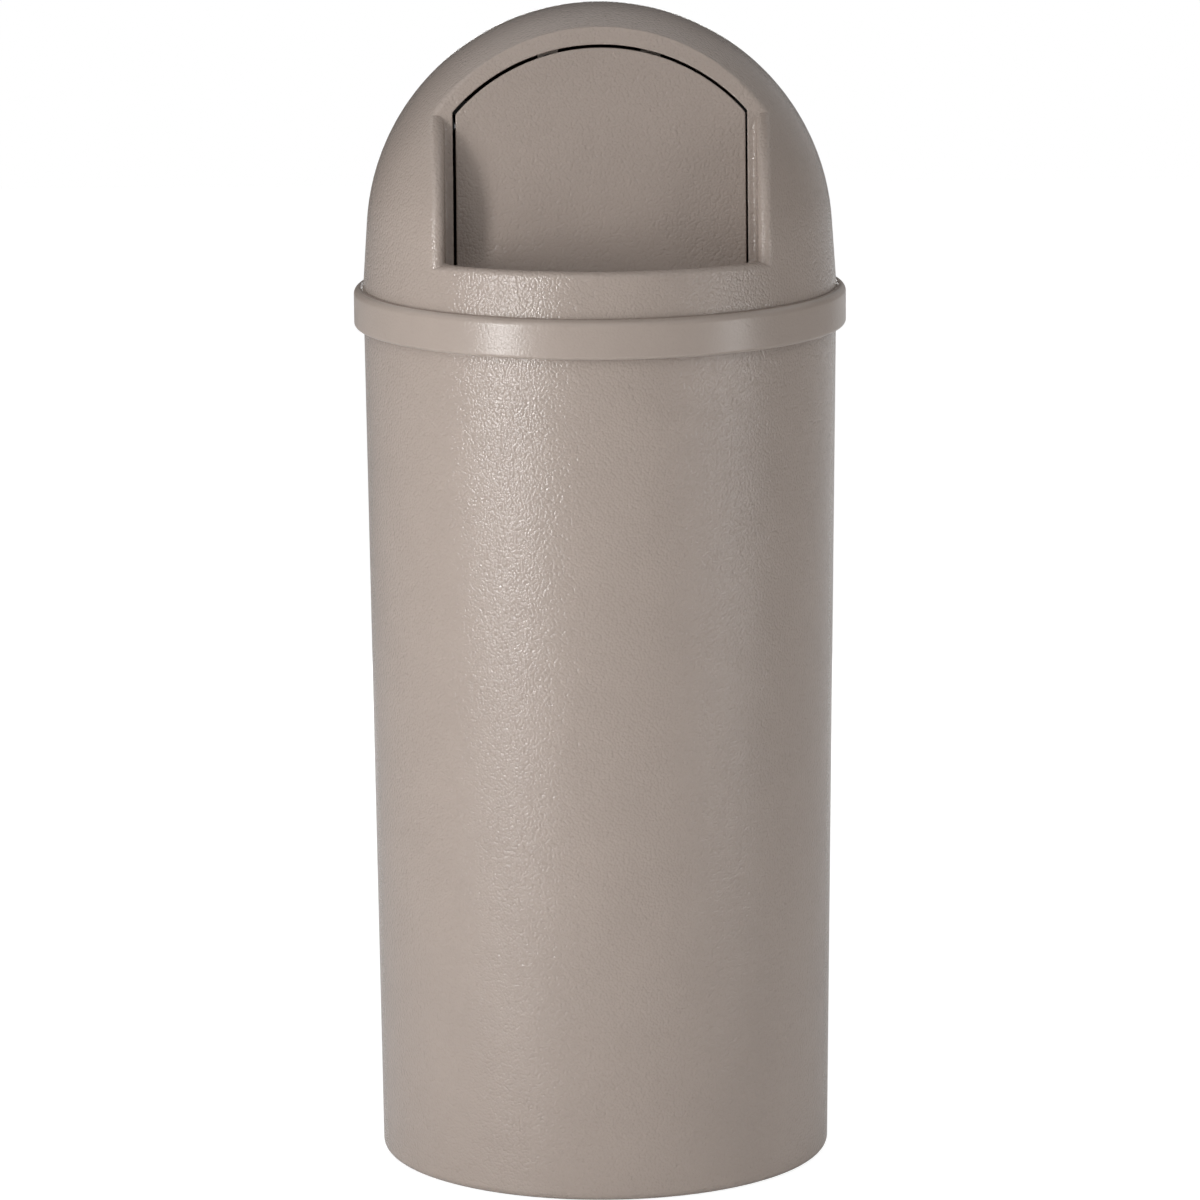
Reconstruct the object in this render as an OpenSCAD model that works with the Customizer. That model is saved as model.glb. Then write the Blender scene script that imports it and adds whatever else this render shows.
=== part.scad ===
// Dome top waste receptacle: a round tub, a domed hood that lifts off, and a
// sprung flap that is pushed inwards. Origin at the middle of the base, doorway
// towards -Y, +Z up, millimetres.

/* [Overall] */
// Height from the floor to the top of the dome
overall_h = 927; // [780:1:1110]
// Outer diameter of the hood's skirt, the widest place
skirt_d = 390.5; // [326:0.5:468]
// Height of the hood above its seat on the container's rim
hood_h = 229; // [195:1:276]

/* [Container] */
// How much smaller the radius is at the base than at the neck
taper = 7.4; // [3:0.1:14]
// Wall of the container
container_wall = 3.2; // [2.4:0.1:4.5]
// Thickness of the container's floor
floor_t = 4; // [3:0.5:8]
// Height of the floor's underside above the foot ring
base_recess = 8; // [4:0.5:20]
// Radius of the round edge at the base
base_edge_r = 6; // [3:0.5:9]
// Width of the foot ring that the container stands on
foot_w = 16; // [10:1:30]
// How far the rolled rim stands out from the neck
rim_reach = 4; // [3.6:0.1:4.8]
// Height of the rolled rim's outer lip
rim_lip_h = 7; // [5:0.5:9]
// Thickness of the rolled rim
rim_t = 2.6; // [2:0.1:3.2]

/* [Liner band] */
// Height of the hoop that clamps the bag
band_h = 7.6; // [5:0.1:9]
// Thickness of the hoop
band_t = 2; // [1.4:0.1:2.2]
// Clearance of the hoop round the neck
band_gap = 0.3; // [0.2:0.1:0.6]

/* [Hood] */
// Wall of the hood
hood_wall = 3; // [2.4:0.1:4]
// Draft of the upright wall under the dome, in degrees
hood_draft = 4; // [1:0.5:6]
// How far the crease over the skirt lies inside the skirt's face
crease_step = 7.45; // [5:0.05:9]
// Height of the skirt, from its lower edge to the crease above it
skirt_h = 30.6; // [28:0.1:40]
// Depth from the skirt's crease down to the seat on the container's rim
seat_drop = 5; // [4:0.5:10]
// Radius of the skirt's round shoulder
shoulder_r = 5.5; // [5:0.5:12]
// Radius of the skirt's lower edge
skirt_edge_r = 3; // [1:0.5:3]
// Wall of the skirt
skirt_wall = 3.2; // [3:0.1:3.8]

/* [Doorway] */
// Lean of the doorway from upright, in degrees
door_lean = 9; // [4:0.5:12]
// Distance of the doorway's face from the dome's centre
door_setback = 91.9; // [78:0.1:105]
// Width of the band between the top of the arch and the crest over it
arch_band = 13.7; // [10:0.1:20]
// How far the arch's centre lies below the crest circle's centre
arch_drop = 6.5; // [3:0.5:9]
// Angle of the doorway's shoulders from its middle, seen from the arch's centre
shoulder_angle = 48.65; // [44:0.05:50]
// Width of the flat frame between the opening and the jambs
jamb_ledge = 6.5; // [5.5:0.1:8]
// Radius of the opening's shoulder corners
opening_corner_r = 2.5; // [1.5:0.5:3]
// Height of the lip above the skirt's crease
lip_rise = 36; // [30:0.5:44]
// Radius of the lip's front edge
lip_edge_r = 5; // [2:0.5:6]
// Height of the sill at the opening below the top of the lip
sill_drop = 16.5; // [12:0.5:18]
// Slope of the sill down to the opening, in degrees
sill_slope = 11; // [8:0.1:11]

/* [Door] */
// Thickness of the door's panel
door_t = 3; // [2:0.5:4]
// Depth of the door with its edge
door_depth = 10; // [8:0.5:10.5]
// Thickness of the door's edge and ribs
door_rib_t = 2.5; // [2:0.5:3]
// Gap between the door and the opening at each side
side_gap = 1.9; // [1.7:0.1:3]
// Gap between the door and the arch
arch_gap = 2.5; // [2:0.1:3.5]
// Gap between the door and the sill
sill_gap = 3; // [2.5:0.1:5]
// Radius of the door's shoulder corners
door_corner_r = 5; // [3.5:0.5:6]
// Sideways play, which the door takes up to the right
side_play = 0.45; // [0.2:0.05:0.5]
// Distance of the upright ribs inboard of the springs
rib_inset = 25; // [12:1:40]

/* [Hinge] */
// How far the hinge lies below the doorway's shoulders
hinge_drop = 10.4; // [8:0.1:16]
// Depth of the hinge behind the doorway's face
hinge_depth = 10; // [9.5:0.5:10.5]
// Diameter of the hinge rod
rod_d = 6; // [5:0.5:6.5]
// Radial clearance of the rod in its bushes and in the door
rod_gap = 0.07; // [0.02:0.01:0.09]
// Diameter of the door's bosses
boss_d = 13; // [12:0.5:14]
// Length of the door's bosses
boss_l = 13; // [8:1:16]
// Thickness of the brackets
bracket_t = 2; // [1.5:0.1:2.5]
// Thickness of the brackets' ears
ear_t = 3; // [2:0.5:4]
// Radius of the brackets' ears
ear_r = 8.5; // [7.5:0.5:10]
// Diameter of the bushes' bodies
bush_d = 9; // [8.5:0.5:10]
// Diameter of the bushes' flanges and of the washers
bush_flange_d = 12; // [11:0.5:13]
// Thickness of the bushes' flanges
bush_flange_t = 1.6; // [1:0.1:2.4]
// Thickness of the washers
washer_t = 1.1; // [0.8:0.1:1.6]
// Diameter of the rod's caps
cap_d = 11; // [9:0.5:12]
// Length of the rod's caps
cap_l = 6; // [5.5:0.5:8]
// How far the rod reaches into its caps
cap_grip = 4.5; // [3:0.5:4.5]
// Diameter of the bracket screws
screw_d = 3; // [2.5:0.5:3.5]
// Length of the bracket screws under their heads
screw_l = 9; // [7:0.5:10]
// Diameter of the bosses that take the screws
screw_boss_d = 9; // [8:0.5:10]

/* [Springs] */
// Diameter of the spring wire
wire_d = 1.6; // [1.2:0.1:1.8]
// Radius of the coil, at the middle of its wire
coil_r = 5.2; // [4.8:0.1:5.3]
// Step from one turn to the next
coil_pitch = 2.3; // [2.2:0.1:2.8]
// Turns that stay with the hood
coil_turns = 6; // [3:1:7]
// Length of the leg that bears on the bracket
fixed_leg_l = 15; // [12:1:18]
// How far below the hinge the moving leg meets the door
arm_reach = 38; // [30:1:46]

/* [Bumpers] */
// Distance of the bumpers from the middle
bumper_x = 40; // [33:1:48]
// Diameter of the bumpers' heads
bumper_d = 11; // [9:0.5:13]
// Thickness of the bumpers' heads
bumper_t = 2.7; // [2:0.1:3.5]
// Diameter of the bumpers' stems
stem_d = 5; // [4:0.5:6]
// Thickness of the lugs that hold the bumpers
lug_t = 3; // [2.5:0.5:4]
// Width of the lugs
lug_w = 16; // [14:1:20]

/* [Hidden] */
$fn = 96;

beige = [0.63, 0.58, 0.54];
steel = [0.72, 0.73, 0.75];
black_steel = [0.14, 0.14, 0.15];
nylon = [0.16, 0.16, 0.17];
black_rubber = [0.12, 0.12, 0.12];

// Larger than the whole object, for half-spaces
far = 600;
// Depth that a cut reaches past the face it starts from
past = 1;
// Clearance between faces that must not touch
free_gap = 0.3;
// Clearance beside the hinge's washers
end_gap = 0.1;
// Clearance of a part that is pushed on or into another
push_gap = 0.02;

// Heights of the container's seat and of the hood's features over it
container_h = overall_h - hood_h;
crease_z = container_h + seat_drop;
skirt_low_z = crease_z - skirt_h;
lip_z = crease_z + lip_rise;

// Radii from the skirt inwards
skirt_r = skirt_d / 2;
skirt_inner_r = skirt_r - skirt_wall;
rim_fit = 0.45;
rim_r = skirt_inner_r - rim_fit;
rim_edge_r = 1.2;
neck_r = rim_r - rim_reach;
base_r = neck_r - taper;
crease_r = skirt_r - crease_step;

// Container
floor_z = base_recess + floor_t;
foot_outer_r = base_r - base_edge_r;
foot_inner_r = foot_outer_r - foot_w;
// Width of the slope between the foot ring and the base's recess
recess_slope = 4;
// Bead that keeps the liner band up
bead_h = 1.6;
band_z = container_h - rim_lip_h - free_gap - band_h;
bead_reach = band_gap + band_t - 0.5;

// Dome: a sphere that its drafted wall meets smoothly, down to the crease
dome_r = (crease_r - (overall_h - crease_z) * tan(hood_draft))
    / (cos(hood_draft) - (1 - sin(hood_draft)) * tan(hood_draft));
dome_cz = overall_h - dome_r;
dome_edge_r = dome_r * cos(hood_draft);
dome_edge_z = dome_cz + dome_r * sin(hood_draft);
shoulder_cr = skirt_r - shoulder_r;
// Height of the shoulder's centre, with its arc through the crease
shoulder_cz = crease_z - sqrt(pow(shoulder_r, 2) - pow(crease_r - shoulder_cr, 2));
// How far inside the hood's skin the doorway's plates end
skin = 1;

// Doorway: a plane that leans back and cuts the dome in a circle, the crest
crest_r = sqrt(pow(dome_r, 2) - pow(door_setback, 2));
foot_y = -door_setback * cos(door_lean);
foot_z = dome_cz + door_setback * sin(door_lean);
opening_r = crest_r - arch_band + arch_drop;
opening_half_w = opening_r * sin(shoulder_angle);
shoulder_u = opening_r * cos(shoulder_angle) - arch_drop;
jamb_half_w = opening_half_w + jamb_ledge;
// Height on the doorway where the jambs run out into the crest
jamb_top_u = sqrt(pow(crest_r, 2) - pow(jamb_half_w + hood_wall, 2)) - hood_wall;
sill_z = lip_z - sill_drop;
sill_u = (sill_z - foot_z) / cos(door_lean);
sill_y = foot_y + sill_u * sin(door_lean);
lip_wall_r = dome_edge_r + (dome_edge_z - lip_z + lip_edge_r) * tan(hood_draft);

// Door
door_half_w = opening_half_w - side_gap;
door_r = opening_r - arch_gap;
door_low_u = sill_u + sill_gap;
knuckle_x = door_half_w - boss_l;

// Hinge, outwards from the door's side
hinge_u = shoulder_u - hinge_drop;
washer_x = door_half_w + side_play + end_gap;
bush_x = washer_x + washer_t + end_gap;
ear_x = bush_x + bush_flange_t;
cap_x = ear_x + ear_t + free_gap;
// Depth of the ear's flat edge behind the doorway's face
ear_front = 4.5;
bracket_back = hinge_depth + coil_r - wire_d / 2 - end_gap;
bracket_face = bracket_back - bracket_t;
// Width of a bracket's plate, and its length past each screw
bracket_w = 8.6;
plate_end = 5;
screw_x = ear_x + 3.4;
screw_low_u = hinge_u - ear_r - 8;
screw_high_u = hinge_u + ear_r + 6;
screw_fit = 0.03;
pilot_room = 1.2;
head_d = 5.6;
head_h = 2;

// Springs, just inboard of the door's bosses
spring_x = knuckle_x - 2;
arm_gap = 0.4;
spring_sides = 6;
turn_rings = 8;
arm_start_x = spring_x - coil_turns * coil_pitch - wire_d - arm_gap;
arm_end_x = arm_start_x - coil_pitch;
// Straight length of the moving leg below the coil, and of its foot
arm_drop = 8;
arm_foot = 6;
// The bracket's tab reaches in behind the spring's fixed leg
tab_x = spring_x - 8;
tab_low_u = hinge_u + ear_r + 0.8;

// Ribs on the door's back, clear of the springs
rib_x = arm_end_x - rib_inset;
cross_rib_u = hinge_u - arm_reach - arm_foot - 8;

// Bumpers
lug_depth = door_depth + free_gap + bumper_t + lug_t;
lug_low_u = sqrt(pow(opening_r, 2) - pow(bumper_x - lug_w / 2, 2)) - arch_drop + past;
bumper_u = sqrt(pow(door_r, 2) - pow(bumper_x, 2)) - arch_drop - door_rib_t - 2;
button_d = 7;
button_t = 1.4;

// ---- places and shared shapes ----

// Puts children on the doorway: X across, Y up along it, Z out of its face
module on_doorway() {
    translate([0, foot_y, foot_z]) rotate([90 - door_lean, 0, 0]) children();
}

// Puts children on the hinge's axis, in the doorway's directions
module on_hinge() {
    on_doorway() translate([0, hinge_u, -hinge_depth]) children();
}

// Turns a piece drawn for the right side into the left one
module on_left() {
    mirror([1, 0, 0]) children();
}

// A round bar along X, from one place to another
module bar_x(d, from_x, to_x) {
    translate([from_x, 0, 0]) rotate([0, 90, 0]) cylinder(d = d, h = to_x - from_x);
}

// An outline with upright sides, a flat foot and an arched head
module arched_outline(half_w, head_r, low_u) {
    intersection() {
        translate([0, -arch_drop]) circle(r = head_r);
        translate([-half_w, low_u]) square([2 * half_w, far]);
    }
}

// The same outline with round shoulders
module round_arched_outline(half_w, head_r, low_u, corner_r) {
    corner_x = half_w - corner_r;
    corner_u = sqrt(pow(head_r - corner_r, 2) - pow(corner_x, 2)) - arch_drop;
    // Where the line from the arch's centre through the corner's leaves the arch
    reach = (head_r + corner_r) / (head_r - corner_r);
    out_x = corner_x * reach;
    out_u = (corner_u + arch_drop) * reach - arch_drop;
    difference() {
        arched_outline(half_w, head_r, low_u);
        for (side = [-1, 1])
            polygon([
                [side * corner_x, corner_u],
                [side * (half_w + corner_r), corner_u],
                [side * (half_w + corner_r), out_u],
                [side * out_x, out_u]
            ]);
    }
    for (side = [-1, 1]) translate([side * corner_x, corner_u]) circle(r = corner_r);
}

// The half-space above the sloping sill, raised by an offset
module above_sill(offset_z) {
    translate([0, sill_y, sill_z])
        rotate([-sill_slope, 0, 0])
            translate([-far / 2, -far / 2, offset_z])
                cube([far, far, far]);
}

// ---- container ----

module container_outline() {
    polygon([
        [0, base_recess],
        [foot_inner_r - recess_slope, base_recess],
        [foot_inner_r, 0],
        [foot_outer_r, 0],
        [foot_outer_r, base_edge_r],
        [base_r, base_edge_r],
        [neck_r, container_h - rim_lip_h],
        [neck_r, container_h - rim_edge_r],
        [0, container_h - rim_edge_r]
    ]);
    translate([foot_outer_r, base_edge_r]) circle(r = base_edge_r);
    // Rolled rim: a flange with a lip that turns down outside
    translate([0, container_h - rim_t]) square([rim_r - rim_edge_r, rim_t]);
    translate([rim_r - rim_t, container_h - rim_lip_h]) square([rim_t, rim_lip_h - rim_edge_r]);
    translate([rim_r - rim_edge_r, container_h - rim_edge_r]) circle(r = rim_edge_r);
    // Bead under the liner band
    translate([neck_r - container_wall, band_z - bead_h])
        square([container_wall + bead_reach, bead_h]);
}

module container_hollow() {
    polygon([
        [0, floor_z],
        [base_r - container_wall, floor_z],
        [neck_r - container_wall, container_h - rim_lip_h],
        [neck_r - container_wall, container_h + past],
        [0, container_h + past]
    ]);
}

module container_body() {
    color(beige)
        rotate_extrude()
            difference() {
                container_outline();
                container_hollow();
            }
}

module liner_band() {
    color(beige)
        translate([0, 0, band_z])
            difference() {
                cylinder(r = neck_r + band_gap + band_t, h = band_h);
                translate([0, 0, -past]) cylinder(r = neck_r + band_gap, h = band_h + 2 * past);
            }
}

// ---- hood ----

// Dome and upright wall, drawn in by an inset
module dome_outline(inset) {
    r = dome_r - inset;
    edge_r = r * cos(hood_draft);
    edge_z = dome_cz + r * sin(hood_draft);
    intersection() {
        translate([0, dome_cz]) circle(r = r);
        translate([0, edge_z]) square([r, r]);
    }
    polygon([
        [0, crease_z],
        [edge_r + (edge_z - crease_z) * tan(hood_draft), crease_z],
        [edge_r, edge_z],
        [0, edge_z]
    ]);
}

module skirt_outline() {
    edge_z = skirt_low_z + skirt_edge_r;
    translate([shoulder_cr, shoulder_cz]) circle(r = shoulder_r);
    translate([skirt_r - skirt_edge_r, edge_z]) circle(r = skirt_edge_r);
    polygon([
        [0, edge_z],
        [skirt_r, edge_z],
        [skirt_r, shoulder_cz],
        [shoulder_cr, shoulder_cz],
        [crease_r, crease_z],
        [0, crease_z]
    ]);
    translate([skirt_inner_r - past, skirt_low_z]) square([past + skirt_wall - skirt_edge_r, skirt_edge_r]);
}

module hood_shell() {
    seat_r = crease_r - hood_wall / cos(hood_draft);
    rotate_extrude()
        difference() {
            union() {
                dome_outline(0);
                skirt_outline();
            }
            dome_outline(hood_wall);
            translate([0, container_h]) square([seat_r, seat_drop]);
            translate([0, skirt_low_z - past])
                square([skirt_inner_r, container_h - skirt_low_z + past]);
        }
}

// What the doorway takes out of the hood's wall
module niche_cut() {
    intersection() {
        on_doorway() translate([-jamb_half_w, -far / 2, 0]) cube([2 * jamb_half_w, far, far]);
        translate([-far / 2, -far / 2, lip_z]) cube([far, far, far]);
    }
}

// Rounds the lip's front edge between the jambs
module lip_round_cut() {
    corner = [lip_wall_r - lip_edge_r, lip_z - lip_edge_r];
    intersection() {
        rotate_extrude()
            difference() {
                translate(corner) square(lip_edge_r + past);
                translate(corner) circle(r = lip_edge_r);
            }
        on_doorway() translate([-jamb_half_w, -far / 2, 0]) cube([2 * jamb_half_w, far, far]);
    }
}

// The doorway's flat frame, its jambs and its sill, all inside the hood's skin
module doorway_plates() {
    plate_half_w = jamb_half_w + hood_wall;
    intersection() {
        rotate_extrude() dome_outline(skin);
        above_sill(-hood_wall);
        union() {
            on_doorway() translate([0, 0, -hood_wall]) linear_extrude(hood_wall) {
                translate([-plate_half_w, -far / 2]) square([2 * plate_half_w, far]);
                translate([-crest_r, jamb_top_u]) square([2 * crest_r, crest_r]);
            }
            for (x = [-plate_half_w, jamb_half_w])
                on_doorway() translate([x, -far / 2, -hood_wall]) cube([hood_wall, far, far / 2]);
            difference() {
                on_doorway() translate([-plate_half_w, -far / 2, -hood_wall])
                    cube([2 * plate_half_w, far, far / 2]);
                above_sill(0);
                translate([-far / 2, -far / 2, lip_z]) cube([far, far, far]);
            }
        }
    }
}

// Posts on the frame's back that take the bracket screws
module screw_bosses() {
    for (side = [-1, 1], u = [screw_low_u, screw_high_u])
        on_doorway()
            translate([side * screw_x, u, -bracket_face])
                cylinder(d = screw_boss_d, h = bracket_face - past);
}

module screw_pilots() {
    for (side = [-1, 1], u = [screw_low_u, screw_high_u])
        on_doorway()
            translate([side * screw_x, u, -bracket_face - past])
                cylinder(d = screw_d + 2 * screw_fit, h = screw_l - bracket_t + pilot_room + past);
}

// Lugs over the door's head that hold the bumpers behind it
module stop_lugs() {
    for (side = [-1, 1])
        on_doorway() translate([side * bumper_x, 0, 0])
            difference() {
                union() {
                    translate([-lug_w / 2, lug_low_u, -lug_depth])
                        cube([lug_w, lug_t, lug_depth - past]);
                    translate([-lug_w / 2, bumper_u - lug_w / 2, -lug_depth])
                        cube([lug_w, lug_low_u - bumper_u + lug_w / 2 + past, lug_t]);
                }
                translate([0, bumper_u, -lug_depth - past])
                    cylinder(d = stem_d + 2 * push_gap, h = lug_t + 2 * past);
            }
}

module dome_top() {
    color(beige)
        difference() {
            union() {
                difference() {
                    hood_shell();
                    niche_cut();
                }
                doorway_plates();
                screw_bosses();
                stop_lugs();
            }
            lip_round_cut();
            on_doorway()
                translate([0, 0, -hood_wall - past])
                    linear_extrude(hood_wall + 2 * past)
                        round_arched_outline(
                            opening_half_w, opening_r, sill_u, opening_corner_r
                        );
            screw_pilots();
        }
}

// ---- door ----

module door_ribs() {
    rib_foot = door_low_u + door_rib_t / 2;
    intersection() {
        translate([0, 0, -door_depth]) linear_extrude(door_depth - door_t / 2)
            round_arched_outline(
                door_half_w - door_rib_t / 2, door_r - door_rib_t / 2, rib_foot, door_corner_r
            );
        union() {
            for (side = [-1, 1])
                translate([side * rib_x - door_rib_t / 2, -far / 2, -door_depth])
                    cube([door_rib_t, far, door_depth]);
            translate([-far / 2, cross_rib_u, -door_depth]) cube([far, door_rib_t, door_depth]);
        }
    }
}

module door_solid() {
    inner_half_w = door_half_w - door_rib_t;
    inner_r = door_r - door_rib_t;
    inner_low_u = door_low_u + door_rib_t;
    difference() {
        translate([0, 0, -door_depth])
            linear_extrude(door_depth)
                round_arched_outline(door_half_w, door_r, door_low_u, door_corner_r);
        translate([0, 0, -door_depth - past])
            linear_extrude(door_depth - door_t + past)
                round_arched_outline(
                    inner_half_w, inner_r, inner_low_u, door_corner_r - door_rib_t
                );
    }
    door_ribs();
}

module push_door() {
    color(beige)
        translate([side_play, 0, 0])
            difference() {
                union() {
                    on_doorway() door_solid();
                    on_hinge()
                        for (x = [-door_half_w, knuckle_x]) {
                            bar_x(boss_d, x, x + boss_l);
                            translate([x, -boss_d / 2, 0])
                                cube([boss_l, boss_d, hinge_depth - door_t / 2]);
                        }
                }
                on_hinge() bar_x(rod_d + 2 * rod_gap, -door_half_w - past, door_half_w + past);
            }
}

// ---- hinge ----

module hinge_rod() {
    reach = cap_x + cap_grip;
    color(steel) on_hinge() bar_x(rod_d, -reach, reach);
}

// One bracket, drawn for the right side
module hinge_bracket() {
    on_doorway() difference() {
        union() {
            // Plate on the two posts
            translate([ear_x, screw_low_u - plate_end, -bracket_back])
                cube([bracket_w, screw_high_u - screw_low_u + 2 * plate_end, bracket_t]);
            // Tab behind the door's head, above the hinge
            translate([tab_x, tab_low_u, -bracket_back])
                cube([ear_x - tab_x + past, screw_high_u + plate_end - tab_low_u, bracket_t]);
            // Ear that holds the bush
            translate([0, hinge_u, -hinge_depth]) bar_x(2 * ear_r, ear_x, ear_x + ear_t);
        }
        // The ear is flat towards the door's face
        translate([ear_x - past, hinge_u - ear_r - past, -ear_front])
            cube([ear_t + 2 * past, 2 * (ear_r + past), ear_r]);
        translate([0, hinge_u, -hinge_depth]) {
            bar_x(bush_d + 2 * push_gap, ear_x - past, cap_x);
            // Room for the rod's cap beside the ear
            bar_x(cap_d + 2 * free_gap, ear_x + ear_t, ear_x + bracket_w + past);
        }
        for (u = [screw_low_u, screw_high_u])
            translate([screw_x, u, -bracket_back - past])
                cylinder(d = screw_d + 2 * free_gap, h = bracket_t + 2 * past);
    }
}

module hinge_bush() {
    on_hinge() difference() {
        union() {
            bar_x(bush_flange_d, bush_x, ear_x);
            bar_x(bush_d, ear_x - past, ear_x + ear_t);
        }
        bar_x(rod_d + 2 * rod_gap, bush_x - past, ear_x + ear_t + past);
    }
}

module hinge_washer() {
    on_hinge() difference() {
        bar_x(bush_flange_d, washer_x, washer_x + washer_t);
        bar_x(rod_d + 2 * rod_gap, washer_x - past, washer_x + washer_t + past);
    }
}

module rod_cap() {
    on_hinge() difference() {
        bar_x(cap_d, cap_x, cap_x + cap_l);
        bar_x(rod_d + 2 * push_gap, cap_x - past, cap_x + cap_grip);
    }
}

module bracket_screws() {
    for (u = [screw_low_u, screw_high_u])
        on_doorway() translate([screw_x, u, -bracket_back]) {
            translate([0, 0, -head_h]) cylinder(d = head_d, h = head_h);
            translate([0, 0, -head_h / 2]) cylinder(d = screw_d, h = screw_l + head_h / 2);
        }
}

// ---- springs ----

// A round wire along a list of points, with closed ends
module wire(points, d) {
    count = len(points);
    last = count - 1;
    rings = [
        for (i = [0 : last])
            let (
                ahead = points[min(i + 1, last)] - points[max(i - 1, 0)],
                along = ahead / norm(ahead),
                across = cross(along, [1, 0, 0]),
                side = across / norm(across),
                up = cross(side, along)
            )
            for (j = [0 : spring_sides - 1])
                let (a = 360 * j / spring_sides)
                points[i] + (d / 2) * (cos(a) * side + sin(a) * up)
    ];
    skin_faces = [
        for (i = [0 : last - 1], j = [0 : spring_sides - 1])
            let (
                a = i * spring_sides + j,
                b = i * spring_sides + (j + 1) % spring_sides
            )
            each [[a, b, b + spring_sides], [a, b + spring_sides, a + spring_sides]]
    ];
    first_cap = [for (j = [1 : spring_sides - 2]) [0, j + 1, j]];
    end = last * spring_sides;
    last_cap = [for (j = [1 : spring_sides - 2]) [end, end + j, end + j + 1]];
    polyhedron(points = rings, faces = concat(skin_faces, first_cap, last_cap));
}

// Points of a coil about X that starts behind the rod, at a place along it
function coil(start_x, turns) = [
    for (i = [0 : turns * turn_rings])
        let (a = 180 + 360 * i / turn_rings)
        [start_x - coil_pitch * i / turn_rings, coil_r * sin(a), coil_r * cos(a)]
];

// The coil leaves its fixed leg at the outer end and runs inwards
fixed_points = concat([[spring_x, fixed_leg_l, -coil_r]], coil(spring_x, coil_turns));
// The moving leg goes down and forward to the door's back, and ends in a foot
touch_n = hinge_depth - door_t - wire_d / 2 - free_gap;
arm_points = concat(
    coil(arm_start_x, 1),
    [
        [arm_end_x, -arm_drop, -coil_r],
        [arm_end_x, 4 - arm_reach, touch_n - 0.6],
        [arm_end_x, -arm_reach, touch_n],
        [arm_end_x, -arm_reach - arm_foot, touch_n]
    ]
);

// Least gap of a wire to itself, between points half a turn or more apart
function self_gap(points) = min([
    for (i = [0 : len(points) - 1], j = [i + turn_rings / 2 : 1 : len(points) - 1])
        norm(points[i] - points[j])
]) - wire_d;
echo(spring_gap = self_gap(fixed_points), arm_gap = self_gap(arm_points));

module door_spring() {
    on_hinge() wire(fixed_points, wire_d);
}

module spring_arm() {
    on_hinge() wire(arm_points, wire_d);
}

// ---- bumpers ----

module door_bumper() {
    on_doorway() translate([bumper_x, bumper_u, 0]) {
        translate([0, 0, -lug_depth + lug_t]) cylinder(d = bumper_d, h = bumper_t);
        translate([0, 0, -lug_depth - button_t / 2]) cylinder(d = stem_d, h = lug_t + button_t);
        translate([0, 0, -lug_depth - button_t]) cylinder(d = button_d, h = button_t);
    }
}

// ---- nodes ----

container_body();
liner_band();
dome_top();
push_door();
hinge_rod();
color(black_steel) on_left() hinge_bracket();  // hinge_bracket_left
color(black_steel) hinge_bracket();  // hinge_bracket_right
color(nylon) on_left() hinge_bush();  // hinge_bush_left
color(nylon) hinge_bush();  // hinge_bush_right
color(nylon) on_left() hinge_washer();  // hinge_washer_left
color(nylon) hinge_washer();  // hinge_washer_right
color(black_rubber) on_left() rod_cap();  // rod_cap_left
color(black_rubber) rod_cap();  // rod_cap_right
color(steel) on_left() bracket_screws();  // bracket_screws_left
color(steel) bracket_screws();  // bracket_screws_right
color(steel) on_left() door_spring();  // door_spring_left
color(steel) door_spring();  // door_spring_right
color(steel) on_left() spring_arm();  // spring_arm_left
color(steel) spring_arm();  // spring_arm_right
color(black_rubber) on_left() door_bumper();  // door_bumper_left
color(black_rubber) door_bumper();  // door_bumper_right
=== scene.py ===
"""Looks of a dome top waste receptacle: round tub, lift-off hood, sprung push door and its hinge.

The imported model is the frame. Sizes are in millimetres and become metres when a mesh is laid,
in the frame's own axes: the origin is the middle of the base, the doorway faces -Y and +Z is up.
"""

import logging
import math
from contextlib import contextmanager
from dataclasses import dataclass
from enum import Enum
from functools import lru_cache
from typing import Callable, Iterator, NamedTuple, Sequence, TypeVar

import bmesh
import bpy
from mathutils import Matrix, Vector


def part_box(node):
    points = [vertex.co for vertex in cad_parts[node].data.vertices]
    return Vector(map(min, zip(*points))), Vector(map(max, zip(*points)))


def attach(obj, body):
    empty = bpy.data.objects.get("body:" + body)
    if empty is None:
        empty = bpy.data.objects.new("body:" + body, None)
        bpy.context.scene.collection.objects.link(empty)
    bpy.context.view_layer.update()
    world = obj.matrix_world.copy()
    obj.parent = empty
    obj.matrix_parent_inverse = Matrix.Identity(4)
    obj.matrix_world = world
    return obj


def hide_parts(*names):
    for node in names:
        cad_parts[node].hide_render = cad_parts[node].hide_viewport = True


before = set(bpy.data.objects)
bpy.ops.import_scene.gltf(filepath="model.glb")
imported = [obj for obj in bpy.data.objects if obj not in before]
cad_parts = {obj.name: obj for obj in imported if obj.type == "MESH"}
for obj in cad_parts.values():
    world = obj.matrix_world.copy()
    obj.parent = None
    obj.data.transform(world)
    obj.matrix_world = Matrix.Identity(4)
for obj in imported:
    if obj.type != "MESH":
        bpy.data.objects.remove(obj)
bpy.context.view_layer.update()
MM = 0.001
log = logging.getLogger("receptacle")

Spot = tuple[float, float]
Outline = list[Spot]
Corner = tuple[float, float, float]
Colour = tuple[float, float, float]
Between = TypeVar("Between", float, Vector)


def blend(start: Between, end: Between, share: float) -> Between:
    """Return the value at a share of the way from one number or point to another."""
    return start + (end - start) * share


def ease(share: float) -> float:
    """Return a share that leaves 0 and meets 1 without a jerk."""
    share = min(max(share, 0.0), 1.0)
    return share * share * (3 - 2 * share)


def spaced(count: int) -> list[float]:
    """Return count + 1 even shares from 0 to 1."""
    return [i / count for i in range(count + 1)]


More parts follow.
